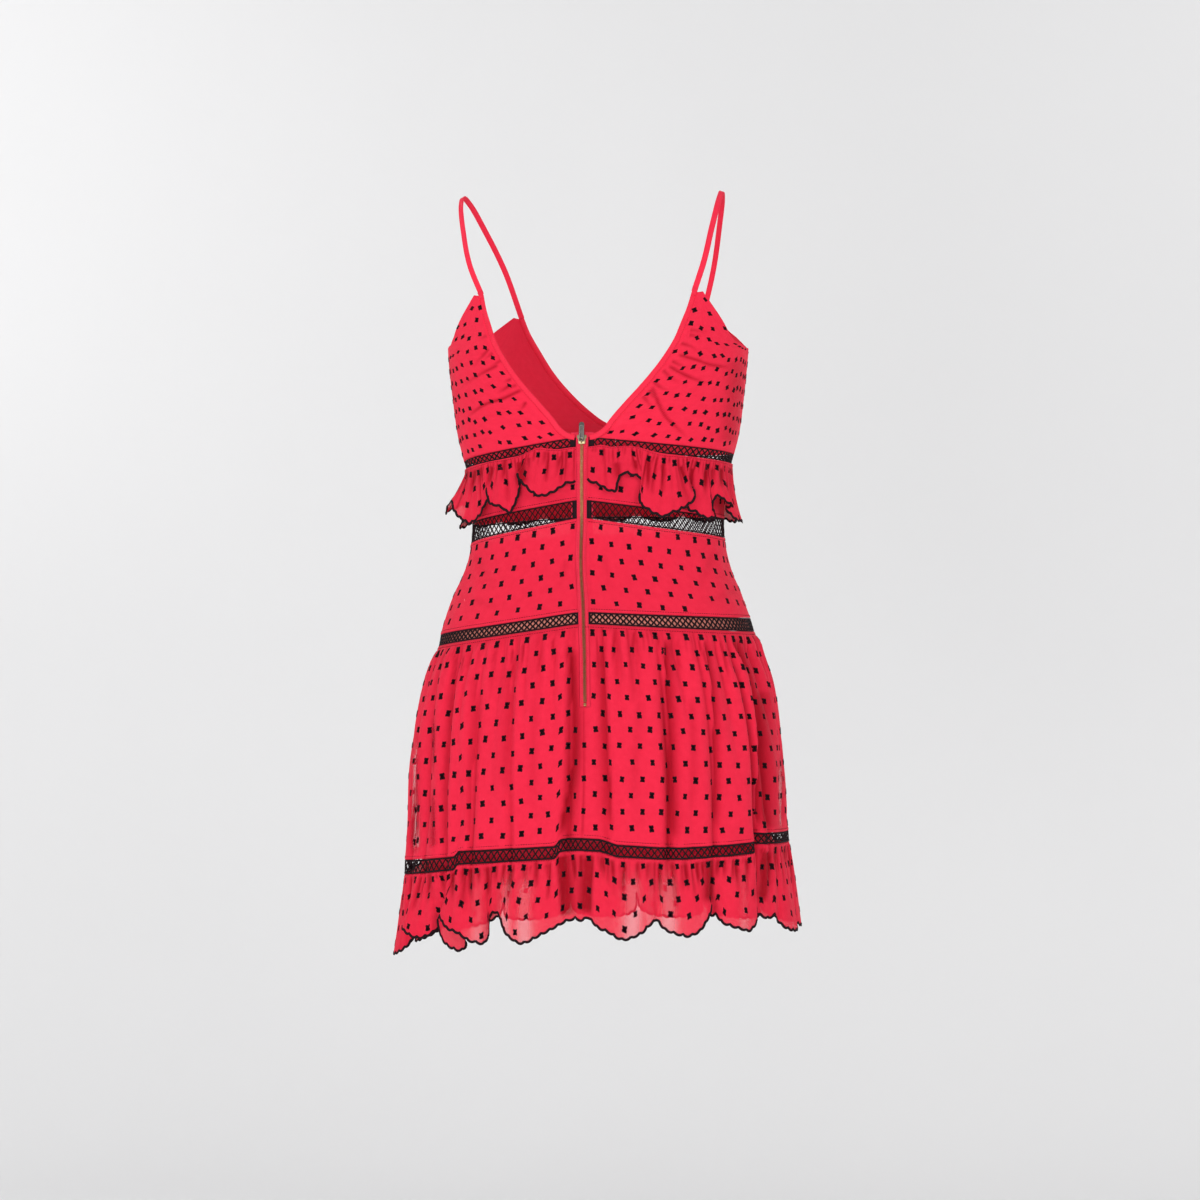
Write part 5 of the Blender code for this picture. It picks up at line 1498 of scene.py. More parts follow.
@dataclass(frozen=True)
class Skirt:
    """The gathered tier with its lining, and the hem lace that follows its folds.

    folds: turn at the yoke, turn at the hem, depth of the gather and depth of the fold.
    """

    puff: float = 3.5
    puff_depth: float = 14.0
    bulge: float = 0.3
    reach: float = 0.45
    fold_start: float = 0.03
    fold_growth: float = 0.6
    gather_growth: float = 0.06
    gather_hold: float = 0.12
    gather_fade: float = 0.5
    slot_end: float = -533.0
    slot_columns: int = 8
    columns: int = 500
    rows: int = 46
    gather_spacing: float = 6.5
    gather_reach: float = 80.0
    lining_grid: tuple[int, int] = (26, 170)
    hem_grid: tuple[int, int] = (7, 720)
    lining_top_gap: float = 1.0
    lining_below: float = 5.0
    lining_depths: tuple[float, ...] = (0.0, 12.0, 40.0, 120.0, 260.0)
    lining_insets: tuple[float, ...] = (2.4, 8.5, 11.0, 13.0, 14.0)
    lattice: Lattice = Lattice(6.7, 1, 1.9, 1.9, thick=0.7)
    cover: float = 0.88
    folds: Rows = (
        (5.0, 5.1, 3.0, 8.0), (10.3, 10.5, 3.0, 0.0), (15.2, 14.8, 2.5, 0.0), (19.6, 18.2, 3.0, 0.0),
        (24.0, 21.7, 3.5, 4.5), (28.5, 28.0, 3.0, 0.0), (35.0, 34.3, 1.5, 5.0), (41.5, 38.5, 3.0, 0.0),
        (47.0, 43.0, 3.5, 5.0), (56.0, 53.0, 2.5, 3.0), (66.0, 63.0, 3.0, 6.0), (76.0, 75.0, 2.5, 0.0),
        (86.0, 86.0, 3.0, 5.0), (97.0, 98.0, 3.0, 0.0), (108.0, 110.0, 3.5, 7.0),
        (119.0, 121.0, 2.5, 0.0), (130.0, 133.0, 3.0, 5.0), (142.0, 144.0, 3.5, 0.0),
        (153.0, 155.0, 3.0, 7.0), (165.0, 166.0, 2.5, 0.0), (176.0, 178.0, 3.5, 6.0),
        (188.0, 188.0, 3.0, 0.0), (199.0, 201.0, 3.0, 7.0), (211.0, 212.0, 2.5, 0.0),
        (222.0, 224.0, 3.5, 5.0), (233.0, 234.0, 3.0, 0.0), (245.0, 246.0, 3.0, 7.0),
        (256.0, 257.0, 2.5, 0.0), (268.0, 269.0, 3.5, 5.0), (279.0, 280.0, 3.0, 0.0),
        (290.0, 289.5, 2.5, 0.0), (299.5, 298.1, 2.5, 4.0), (306.5, 304.8, 3.5, 8.5),
        (313.0, 313.5, 3.0, 0.0), (321.5, 322.0, 3.0, 5.0), (329.0, 329.0, 3.0, 0.0),
        (335.2, 335.5, 3.5, 8.5), (342.5, 342.5, 3.0, 0.0), (348.6, 348.2, 2.5, 0.0),
        (353.6, 353.4, 3.0, 4.0),
    )
    # The tier's folds and pleats: each crease's tone is painted shade on its shadow side. Of those with no
    # depth, the one at 761 is only painted shade and the rest only thin the cloth.
    creases: tuple[Crease, ...] = (
        Crease(5.0, 0.8, 9.0, ((567, 648), (571, 690), (572, 766), (564, 806), (558, 841)), 0.1, 0.95),
        Crease(2.0, 5.0, 0.7, ((477, 672), (475, 733), (471, 782), (470, 850)), 0.2, 0.5),
        Crease(2.0, 5.5, 0.7, ((451, 690), (448, 790), (447, 856)), 0.15, 0.6),
        Crease(1.6, 9.0, 0.8, ((509, 668), (509, 740), (508, 815)), 0.4, 0.4),
        Crease(3.0, 7.0, 0.7, ((604, 645), (607, 733), (610, 782), (613, 838)), 0.15, 0.7),
        Crease(4.5, 0.8, 8.0, ((665, 640), (668, 700), (670, 760), (671, 846)), 0.1, 0.95),
        Crease(3.0, 0.8, 6.0, ((705, 641), (712, 690), (715, 770), (714, 846)), 0.2, 0.85),
        Crease(6.0, 0.8, 9.0, ((733, 638), (749, 675), (757, 716), (759, 757), (757, 835)), 0.1, 1.0),
        Crease(0.0, 4.0, 9.0, ((761, 690), (765, 757), (767, 836)), 0.1, 0.9),
        Crease(0.7, 1.5, 1.5, ((583, 706), (584, 770), (582, 843)), 0.1, 0.55),
        Crease(1.0, 5.0, 5.0, ((536, 700), (532, 760), (530, 820)), 0.4, 0.2),
        Crease(1.0, 5.0, 5.0, ((640, 700), (636, 760), (634, 820)), 0.4, 0.2),
        Crease(1.2, 4.0, 4.0, ((692, 700), (694, 770), (692, 830)), 0.4, 0.3),
        Crease(0.0, 4.0, 4.0, ((417, 725), (416, 790), (416, 856)), 0.1, 0.0, 0.75),
        Crease(0.0, 3.5, 3.5, ((432, 787), (433, 820), (433, 850)), 0.1, 0.0, 0.8),
        Crease(0.0, 1.8, 1.8, ((434, 712), (433, 745), (432, 778)), 0.3, 0.0, 0.7),
        Crease(0.0, 2.5, 2.5, ((782, 745), (781, 790), (781, 838)), 0.2, 0.0, 0.6),
    )
    # Gathers below the yoke; the last column is painted shade in each groove.
    gathers: Rows = (
        (453, 652, 64, -2, 0.6), (462, 655, 30, -2, 0.6), (470, 652, 24, -2, 0.5), (494, 650, 26, -1, 0.5),
        (511, 648, 42, 0, 0.8), (523, 642, 34, -1, 0.8), (538, 640, 50, 2, 0.6), (552, 638, 38, 3, 0.7),
        (597, 636, 104, 1, 0.6), (615, 634, 38, -2, 0.7), (634, 633, 35, -1, 0.7), (643, 634, 22, 1, 0.5),
        (657, 636, 36, 8, 0.6), (678, 638, 52, 4, 0.6), (697, 638, 42, 12, 0.8), (704, 640, 30, 8, 0.5),
        (721, 640, 50, 10, 0.8), (745, 640, 34, 10, 0.7),
    )

    def fold_depths(self, share: float) -> tuple[Array, Array]:
        """Turns and depths of the folds at a share of the way down."""
        top, low, gather, deep = columns_of(self.folds)
        turns = np.radians(top * (1 - share) + low * share)
        held = ease(share / self.gather_growth) * (1 - ease((share - self.gather_hold) / self.gather_fade))
        return turns, gather * held + deep * ease((share - self.fold_start) / self.fold_growth)

    def out(self, turn: Array, share: float) -> Array:
        """Outward step: puffed below the yoke, a V at each fold, and a swell between folds."""
        fold_turns, depths = self.fold_depths(share)
        wrapped = (turn - fold_turns[0]) % FULL + fold_turns[0]
        edges, depths = np.append(fold_turns, fold_turns[0] + FULL), np.append(depths, depths[0])
        i = np.clip(np.searchsorted(edges, wrapped, side="right") - 1, 0, len(edges) - 2)
        q = (wrapped - edges[i]) / (edges[i + 1] - edges[i])
        near = np.clip(1 - q / self.reach, 0, 1) ** 2 * depths[i]
        far = np.clip(1 - (1 - q) / self.reach, 0, 1) ** 2 * depths[i + 1]
        swell = self.bulge * (depths[i] + depths[i + 1]) / 2 * np.sin(math.pi * q)
        below = share * (SEAMS.hip_lace_low[0] - SEAMS.hem_lace_top[0])
        return self.puff * ease(below / self.puff_depth) - near - far + swell

    def knots(self, share: float) -> Array:
        """Turns of the slit's edges and of every fold at a share of the way down."""
        turns, _ = self.fold_depths(share)
        height = SEAMS.hip_lace_low[0] + share * (SEAMS.hem_lace_top[0] - SEAMS.hip_lace_low[0])
        gap = WELT_HALF / float(FIGURE.size(height, 1))
        return np.concatenate([[gap], turns, [FULL - gap]])

    def tier(self) -> tuple[Surface, Array]:
        """The tier's surface, whose columns follow the folds, and which quads there are."""
        whole = SEAMS.hip_lace_low[0] - SEAMS.hem_lace_top[0]
        slot = (SEAMS.hip_lace_low[0] - self.slot_end) / whole
        shares = np.unique(np.append(row_shares(self.rows, whole), slot))
        middle = self.knots(0.5)
        knot_order = np.arange(len(middle))
        order = np.interp(np.linspace(middle[0], middle[-1], self.columns), middle, knot_order)
        turns = np.array([np.interp(order, knot_order, self.knots(share)) for share in shares])
        over = np.arange(1, self.slot_columns) / self.slot_columns
        turns = np.hstack([turns, turns[:, -1:] + (turns[:, :1] + FULL - turns[:, -1:]) * over])
        heights = SEAMS.between("hip_lace_low", "hem_lace_top", turns, shares[:, None])
        out = np.array([self.out(turn, share) for turn, share in zip(turns, shares)])
        fine = gathered(np.degrees(turns[0]) * DEGREE_MM, shares * whole, self.gather_spacing,
                        self.gather_reach, 21)
        sway = 1.2 * np.sin(turns * 19 + heights * 0.021) + 1.0 * np.sin(turns * 31 - heights * 0.033)
        lip = seam_lip(shares * whole, whole)[:, None]
        fade = ease((shares - 0.01) / 0.05)[:, None] * ease((1 - shares) / 0.12)[:, None]
        press, tone, sheer = creased(FIGURE.place(turns, heights, out),
                                     self.creases + gathers_at(self.gathers, 1.5, 1.6))
        seen = EYE.facing(turns)
        swell = np.array([self.out(turn, share) - self.puff for turn, share in zip(turns, shares)])
        # Painted shade where the cloth sinks into its folds.
        painted_fold_shade = ease(-swell / 8.0) * 0.8
        out = out + fade * (sway - 2.0 * fine - press * seen) + lip
        beside = np.minimum(turns, FULL - turns) * FIGURE.size(heights, 1) - WELT_HALF
        held = (1 - ease(beside / 9.0)) * (1 - ease((shares[:, None] - slot) / 0.12))
        out = out * (1 - held) + (0.2 + welt(beside)) * held
        # Painted shade: creases, fine gathers and sunken folds darken the cloth's colour.
        tone = np.maximum(np.maximum(tone * seen, 0.75 * fine * ease(shares / 0.02)[:, None]), painted_fold_shade)
        cover = self.cover * (1 - sheer)
        keep = np.ones((len(shares) - 1, turns.shape[1]), bool)
        keep[shares[1:] <= slot, self.columns - 1:] = False
        return Surface(FIGURE.place(turns, heights, out), True, tone, cover), keep

    def lining(self) -> tuple[Surface, Array]:
        """The lining's plain tube with a soft wander, slit at the top for the zip."""
        rows, columns = self.lining_grid
        shares = np.linspace(0, 1, rows)[:, None]
        top, low = SEAMS.hip_lace_low[0], SEAMS.hem_lace_low[0] - self.lining_below
        even = np.linspace(0, FULL, columns + 1)
        gap = ZIP_HALF / FIGURE.size(top + (low - top) * shares, 1)
        turns = gap + (FULL - 2 * gap) * even / FULL
        upper = SEAMS.height("hip_lace_low", turns) - self.lining_top_gap
        lower = SEAMS.height("hem_lace_low", turns) - self.lining_below
        heights = upper + (lower - upper) * shares
        inset = smooth(upper - heights, self.lining_depths, self.lining_insets)
        sway = 0.7 * np.sin(turns * 13 + heights * 0.012) * ease(shares / 0.2)
        keep = np.ones((rows - 1, columns + 1), bool)
        keep[shares[:-1, 0] < (top - self.slot_end) / (top - low), -1] = False
        return Surface(FIGURE.place(turns, heights, sway - inset), closed=True), keep

    def hem_band(self) -> Surface:
        """The hem lace's band, which follows the folds at the tier's low edge."""
        rows, columns = self.hem_grid
        turns = np.linspace(0, FULL, columns, endpoint=False)
        heights = SEAMS.between("hem_lace_top", "hem_lace_low", turns, np.linspace(0, 1, rows)[:, None])
        return Surface(FIGURE.place(turns, heights, self.out(turns, 1.0)), closed=True)

    def build(self) -> None:
        """The tier, its spots and stitches, the lining and the hem lace."""
        surface, keep = self.tier()
        tier = crepe_piece("skirt", surface, keep)
        spots = Spots()
        dots = spots.build("skirt", surface, spots.lay(surface, (9.0, 7.0), seed=31, open_down=92.0), 32)
        seam_rows("skirt", surface)
        surface, keep = self.lining()
        lining = settle(cloth_mesh("satin_lining", surface, keep), LINING, ["skirt_lining"])
        LaceBand("hem", ("hem_lace",), self.lattice, (0.0135, 1.2)).build(self.hem_band())


@dataclass(frozen=True)
class Frill:
    """A gathered frill with a scalloped, overlocked edge.

    left and right: the low edge as it lies at the back, from the zip to each side: its turn,
    its length below the seam and its outward step. The rest is even waves.
    waves: the first and last turn, how many, and the longest and shortest length and the
    furthest and nearest outward step of each.
    """

    name: str
    seam: str
    left: Rows
    right: Rows
    waves: tuple[float, ...]
    columns: int
    rows: int
    closed: bool
    cover: float
    creases: tuple[Crease, ...]
    gathers: Rows
    curve: float = 1.3
    fullness: float = 0.6
    curl: float = 0.9
    scallop: float = 9.5
    scallop_deep: float = 2.4
    settle_over: float = 60.0
    head_reach: float = 48.0
    tuck: float = 0.0
    gather_spacing: float = 5.0
    gather_deep: float = 2.6
    ripple_deep: float = 1.8
    low_least: float = 9.0
    edge_width: float = 3.0
    edge_thick: float = 1.3

    def control(self) -> Array:
        """The low edge's control points, round from the zip: the waves are rounded lobes that curl."""
        first, last, count, long, short, far, near = self.waves
        step = np.linspace(0, 1, 8, endpoint=False)
        starts = np.linspace(first, last, int(count), endpoint=False)[:, None]
        width = (last - first) / count
        wave = np.sin(math.pi * step)
        vary = np.sin(starts * 0.31) * 0.12
        turns = starts + width * (step - self.curl / FULL * np.sin(FULL * step))
        lengths = short + (long - short) * (1 + vary) * wave ** self.fullness
        outs = near + (far - near) * (1 - vary) * wave
        even = np.stack([turns, lengths, outs], axis=-1).reshape(-1, 3)
        return np.concatenate([np.array(self.left), even, np.array(self.right)[::-1]])

    def edge(self) -> tuple[Array, Array, Array]:
        """The low edge at evenly spaced places: turns, lengths and outward steps."""
        points = self.control()
        if self.closed:
            points = np.concatenate([points, points[:1] + (360.0, 0, 0)])
        order = np.arange(len(points))
        rough = np.linspace(0, order[-1], order[-1] * 12 + 1)
        turns, lengths, outs = (smooth(rough, order, values) for values in points.T)
        places = FIGURE.place(np.radians(turns), SEAMS.height(self.seam, np.radians(turns)) - lengths, outs)
        along = run_lengths(places)
        count = round(along[-1] / self.scallop)
        even = np.linspace(0, along[-1], self.columns + 1)
        if self.closed:
            even = even[:-1]
        turns, lengths, outs = (np.interp(even, along, values) for values in (turns, lengths, outs))
        small = np.abs(np.sin(math.pi * count * even / along[-1])) ** 0.7
        return np.radians(turns), lengths + self.scallop_deep * (small - 0.6), outs

    def head(self, turns: Array) -> Array:
        """Turns of the gathered head: the low edge's turns evened out over its waves."""
        reach = int(self.settle_over * self.columns / 1500.0)
        if self.closed:
            before, after = turns[-reach:] - FULL, turns[:reach] + FULL
        else:
            before, after = 2 * turns[0] - turns[reach:0:-1], 2 * turns[-1] - turns[-2:-reach - 2:-1]
        wide = np.concatenate([before, turns, after])
        kernel = np.ones(2 * reach + 1) / (2 * reach + 1)
        return np.maximum.accumulate(np.convolve(wide, kernel, "valid"))

    def head_out(self, heads: Array) -> Array:
        """Outward step at the head: just clear of the cloth below it."""
        return np.full(heads.shape, CAD_CLOTH + LAYER_GAP)

    def rise(self, heads: Array) -> Array:
        """How far the head stands up over the lace."""
        return np.zeros(heads.shape)

    def surface(self) -> Surface:
        """Hung from its seam: each point lies a share of the way from the head to the low edge."""
        turns, lengths, outs = self.edge()
        heads = self.head(turns)
        down = np.linspace(0, 1, self.rows)[:, None]
        round_it = heads + (turns - heads) * down ** 1.3
        top = SEAMS.sewn(self.seam, heads) - SEAM_GAP / 2 + self.rise(heads) + self.tuck
        low = SEAMS.height(self.seam, turns) - lengths
        heights = top + (low - top) * down
        start = self.head_out(heads)
        fine = gathered(np.degrees(heads) * DEGREE_MM, down[:, 0] * lengths.mean(), self.gather_spacing,
                        self.head_reach, len(self.name))
        degrees = np.degrees(turns)
        ripple = np.sin(degrees * 0.9 + 2 * np.sin(degrees * 0.23)) * down ** 0.8 * (1 - down)
        free = ease((down - 0.02) / 0.08)
        loose = (self.ripple_deep * ripple - self.gather_deep * fine) * free
        out = start + (outs - start) * down ** self.curve + loose
        press, tone, sheer = creased(FIGURE.place(round_it, heights, out),
                                     self.creases + gathers_at(self.gathers, 1.6, 2.3))
        seen = EYE.facing(round_it)
        least = start * (1 - down) - self.low_least * down if self.closed else start
        out = np.maximum(out - press * seen * free, least) - self.tuck * (down == 0)
        # Painted shade in the creases and along the fine gathers.
        tone = np.minimum(np.maximum(1.35 * tone * seen, 1.6 * fine * free), 1)
        cover = self.cover * (1 - sheer)
        return Surface(FIGURE.place(round_it, heights, out), self.closed, tone, cover)

    def build(self, flat: tuple[float, float], seed: int) -> None:
        """The frill's cloth, black edge, spots and head stitches."""
        surface = self.surface()
        cloth = crepe_piece(self.name, surface)
        rows, columns = surface.points.shape[:2]
        path = surface.line(np.full(columns, rows - 1.0), np.arange(columns, dtype=float), -SHELL / 2)
        shape = oval(self.edge_width, self.edge_thick, 6)
        edge = carried("edge_" + self.name, [path], shape, loop=surface.closed)
        settle(edge, LACE)
        spots = Spots()
        places = spots.lay(surface, (8.0, 7.0), row=0.55, seed=seed)
        dots = spots.build(self.name, surface, places, seed + 1)
        sewn = stitches("stitches_" + self.name, [seam_path(surface, 1.8, lift=0.1)], *HEAD_STITCH)
        settle(sewn, DARK_THREAD)


@dataclass(frozen=True)
class UpperFrill(Frill):
    """The frill over the midriff, whose head stands up over the lace near the zip."""

    stands: Rows = ((18.0, 5.0, 5.0), (340.0, 8.0, 4.5), (352.0, 3.0, 2.5))

    def rise(self, heads: Array) -> Array:
        """How far the head stands up over the lace: a bell at each place where it does."""
        return sum(tall * np.exp(-((np.degrees(heads) - centre) / width) ** 2)
                   for centre, width, tall in self.stands)


@dataclass(frozen=True)
class HemFrill(Frill):
    """The frill below the hem lace, which starts on the skirt's folds."""

    tuck: float = 1.1
    skirt: Skirt = Skirt()

    def head_out(self, heads: Array) -> Array:
        """Outward step at the head: the skirt's own at its low edge."""
        return self.skirt.out(heads, 1.0)


UPPER_FRILL = UpperFrill("upper_ruffle", "bust_lace_low", left=(
    (2.7, 36, 2), (5.5, 35, 4), (8.5, 39, 7), (11.5, 43, 10), (15.7, 45, 12), (19.3, 40, 12), (22.2, 32, 11),
    (25.1, 25, 9), (26.7, 18, 6), (26.9, 21, 4), (26.8, 30, 3), (27.7, 42, 5), (30.1, 56, 9), (32.3, 51, 12),
    (35.2, 47, 13), (38.7, 44, 12), (41.6, 32, 9), (43.3, 26, 5), (42.9, 31, 4), (42.6, 38, 6), (44.4, 44, 8),
    (46.4, 54, 11), (51.4, 60, 14), (55.5, 56, 16), (60.0, 50, 19), (64.0, 42, 21), (68.5, 34, 20),
    (72.0, 36, 24), (78.0, 44, 27), (84.0, 40, 25)), right=(
    (357.4, 34, 2), (352.8, 37, 4), (349.4, 41, 6), (346.6, 43, 8), (345.4, 41, 9), (344.9, 33, 8),
    (343.6, 26, 6), (342.0, 23, 5), (338.7, 24, 4), (336.6, 25, 4), (334.0, 28, 4), (333.1, 31, 4),
    (334.8, 36, 5), (335.9, 43, 8), (335.5, 53, 11), (333.3, 57, 13), (331.1, 61, 15), (326.9, 64, 16),
    (324.6, 60, 16), (320.7, 56, 15), (315.4, 48, 13), (312.6, 41, 11), (312.5, 34, 8), (313.9, 28, 5),
    (315.7, 27, 4), (315.0, 38, 4), (314.4, 53, 7), (311.8, 55, 10), (308.5, 60, 13), (305.2, 61, 15),
    (302.3, 59, 16), (302.9, 52, 14), (302.6, 45, 12), (301.0, 40, 11), (299.6, 37, 14), (296.1, 42, 18),
    (291.4, 46, 21)),
    waves=(90.0, 287.0, 10, 57, 32, 21, 3), columns=930, rows=20, closed=False, cover=0.74, creases=(
        # The creases' tone is painted shade; those with no depth only thin the cloth.
        Crease(1.6, 2.6, 6.0, ((519, 462), (520, 474), (522, 488)), 0.4, 1.0),
        Crease(1.4, 6.0, 3.0, ((617, 462), (619, 472), (620, 484)), 0.5, 0.6),
        Crease(0.0, 6.0, 6.0, ((448, 486), (446, 496), (445, 508)), 0.2, 0.0, 0.5),
        Crease(0.0, 5.0, 5.0, ((716, 500), (717, 508), (718, 516)), 0.2, 0.0, 0.4),
    ), gathers=(
        (467, 470, 20, -3, 0.7), (475, 470, 28, -5, 0.8), (481, 468, 20, -3, 0.7), (492, 466, 24, -4, 0.8),
        (505, 460, 26, -3, 0.7), (528, 458, 16, 0, 0.5), (545, 452, 16, -2, 0.5), (561, 456, 18, -5, 0.6),
        (604, 450, 18, 0, 0.4), (635, 460, 15, 2, 0.9), (649, 459, 38, -1, 1.0), (663, 464, 20, 2, 0.6),
        (681, 466, 22, 6, 0.9), (692, 468, 28, 0, 0.9), (707, 468, 30, -2, 1.0), (713, 468, 22, 0, 0.6),
        (722, 468, 24, 0, 0.9),
    ))

HEM_FRILL = HemFrill("hem_ruffle", "hem_lace_low", left=(
    (2.2, 65, 2), (4.6, 66, 6), (7.2, 70, 9), (11.3, 76, 12), (16.1, 82, 13), (19.6, 75, 12),
    (21.6, 67, 10), (23.0, 57, 7), (24.5, 50, 3), (26.4, 48, -1), (28.4, 51, -5), (29.1, 60, -7),
    (28.3, 70, -3), (27.9, 75, 3), (28.2, 78, 7), (29.7, 76, 10), (31.7, 73, 12), (33.4, 68, 13),
    (35.6, 63, 13), (38.8, 59, 11), (41.5, 52, 8), (44.1, 46, 4), (45.9, 53, 0), (45.0, 68, -2),
    (42.7, 77, -3), (38.3, 83, -4), (36.9, 78, -7), (39.1, 69, -9), (43.0, 60, -9), (46.5, 57, -6),
    (47.0, 60, 0), (47.5, 64, 5), (50.2, 67, 9), (52.0, 66, 13), (55.0, 61, 16), (59.0, 55, 14)), right=(
    (360.2, 67, 1), (358.5, 64, 1), (355.6, 73, 6), (352.8, 77, 9), (348.8, 84, 12), (344.3, 78, 13),
    (342.2, 71, 11), (340.4, 66, 8), (339.3, 65, 4), (337.3, 74, 7), (333.7, 79, 11), (331.1, 80, 12),
    (328.2, 75, 11), (326.3, 67, 9), (324.6, 59, 6), (323.4, 51, 2), (323.4, 50, -3), (323.2, 59, -6),
    (321.8, 62, -6), (321.3, 61, -2), (320.5, 68, 4), (318.0, 72, 8), (315.1, 75, 10), (312.1, 77, 10),
    (308.3, 69, 7), (307.3, 62, 3), (307.5, 60, -1), (304.2, 63, -2), (300.3, 68, 2), (297.3, 65, 5)),
    waves=(62.0, 294.0, 11, 83, 58, 15, -4), columns=1180, rows=22, closed=True, cover=0.78, creases=(
        # The creases' tone is painted shade between the lobes; those with no depth only thin the cloth.
        Crease(3.0, 2.2, 12.0, ((558, 856), (561, 885), (564, 918)), 0.1, 1.0),
        Crease(3.0, 12.0, 2.2, ((592, 856), (590, 885), (589, 915)), 0.1, 0.95),
        Crease(2.0, 8.0, 2.2, ((712, 860), (712, 880), (711, 905)), 0.2, 0.9),
        Crease(2.0, 8.0, 3.0, ((770, 852), (768, 875), (764, 905)), 0.2, 0.9),
        Crease(0.0, 7.0, 7.0, ((476, 862), (478, 900), (474, 975)), 0.1, 0.0, 0.3),
        Crease(0.0, 8.0, 7.0, ((508, 860), (505, 900), (506, 975)), 0.1, 0.0, 0.42),
        Crease(0.0, 9.0, 10.0, ((527, 860), (524, 900), (524, 975)), 0.1, 0.0, 0.45),
        Crease(0.0, 12.0, 11.0, ((632, 858), (633, 900), (630, 975)), 0.1, 0.0, 0.48),
        Crease(0.0, 11.0, 10.0, ((668, 858), (669, 900), (667, 975)), 0.1, 0.0, 0.48),
        Crease(0.0, 5.0, 5.0, ((652, 858), (650, 900), (650, 975)), 0.1, 0.0, 0.25),
        Crease(0.0, 5.0, 5.0, ((742, 852), (744, 900), (744, 975)), 0.1, 0.0, 0.25),
    ), gathers=(
        (430, 874, 30, -3, 0.7), (442, 872, 26, 2, 0.6), (452, 872, 34, 0, 0.8), (462, 870, 24, 0, 0.6),
        (470, 868, 36, 0, 0.9), (478, 868, 20, 0, 0.6), (487, 866, 44, 1, 0.9), (495, 866, 22, 0, 0.6),
        (511, 868, 38, -4, 0.9), (523, 864, 24, 2, 0.6), (536, 862, 30, 0, 0.7), (548, 862, 22, 0, 0.6),
        (573, 856, 34, 2, 1.0), (581, 856, 30, 0, 1.0), (603, 858, 24, 2, 0.7), (612, 860, 28, 2, 0.8),
        (625, 864, 42, -3, 0.8), (638, 862, 22, 0, 0.6), (648, 862, 24, 0, 0.6), (660, 862, 46, 0, 0.9),
        (672, 862, 26, 2, 0.7), (685, 862, 34, 4, 0.9), (697, 862, 30, 3, 0.9), (703, 862, 24, 2, 0.8),
        (725, 860, 22, 0, 0.6), (736, 860, 34, 3, 0.8), (748, 858, 24, 0, 0.7), (764, 850, 40, -2, 1.0),
        (776, 846, 30, 0, 0.7), (785, 846, 24, 2, 0.6),
    ))


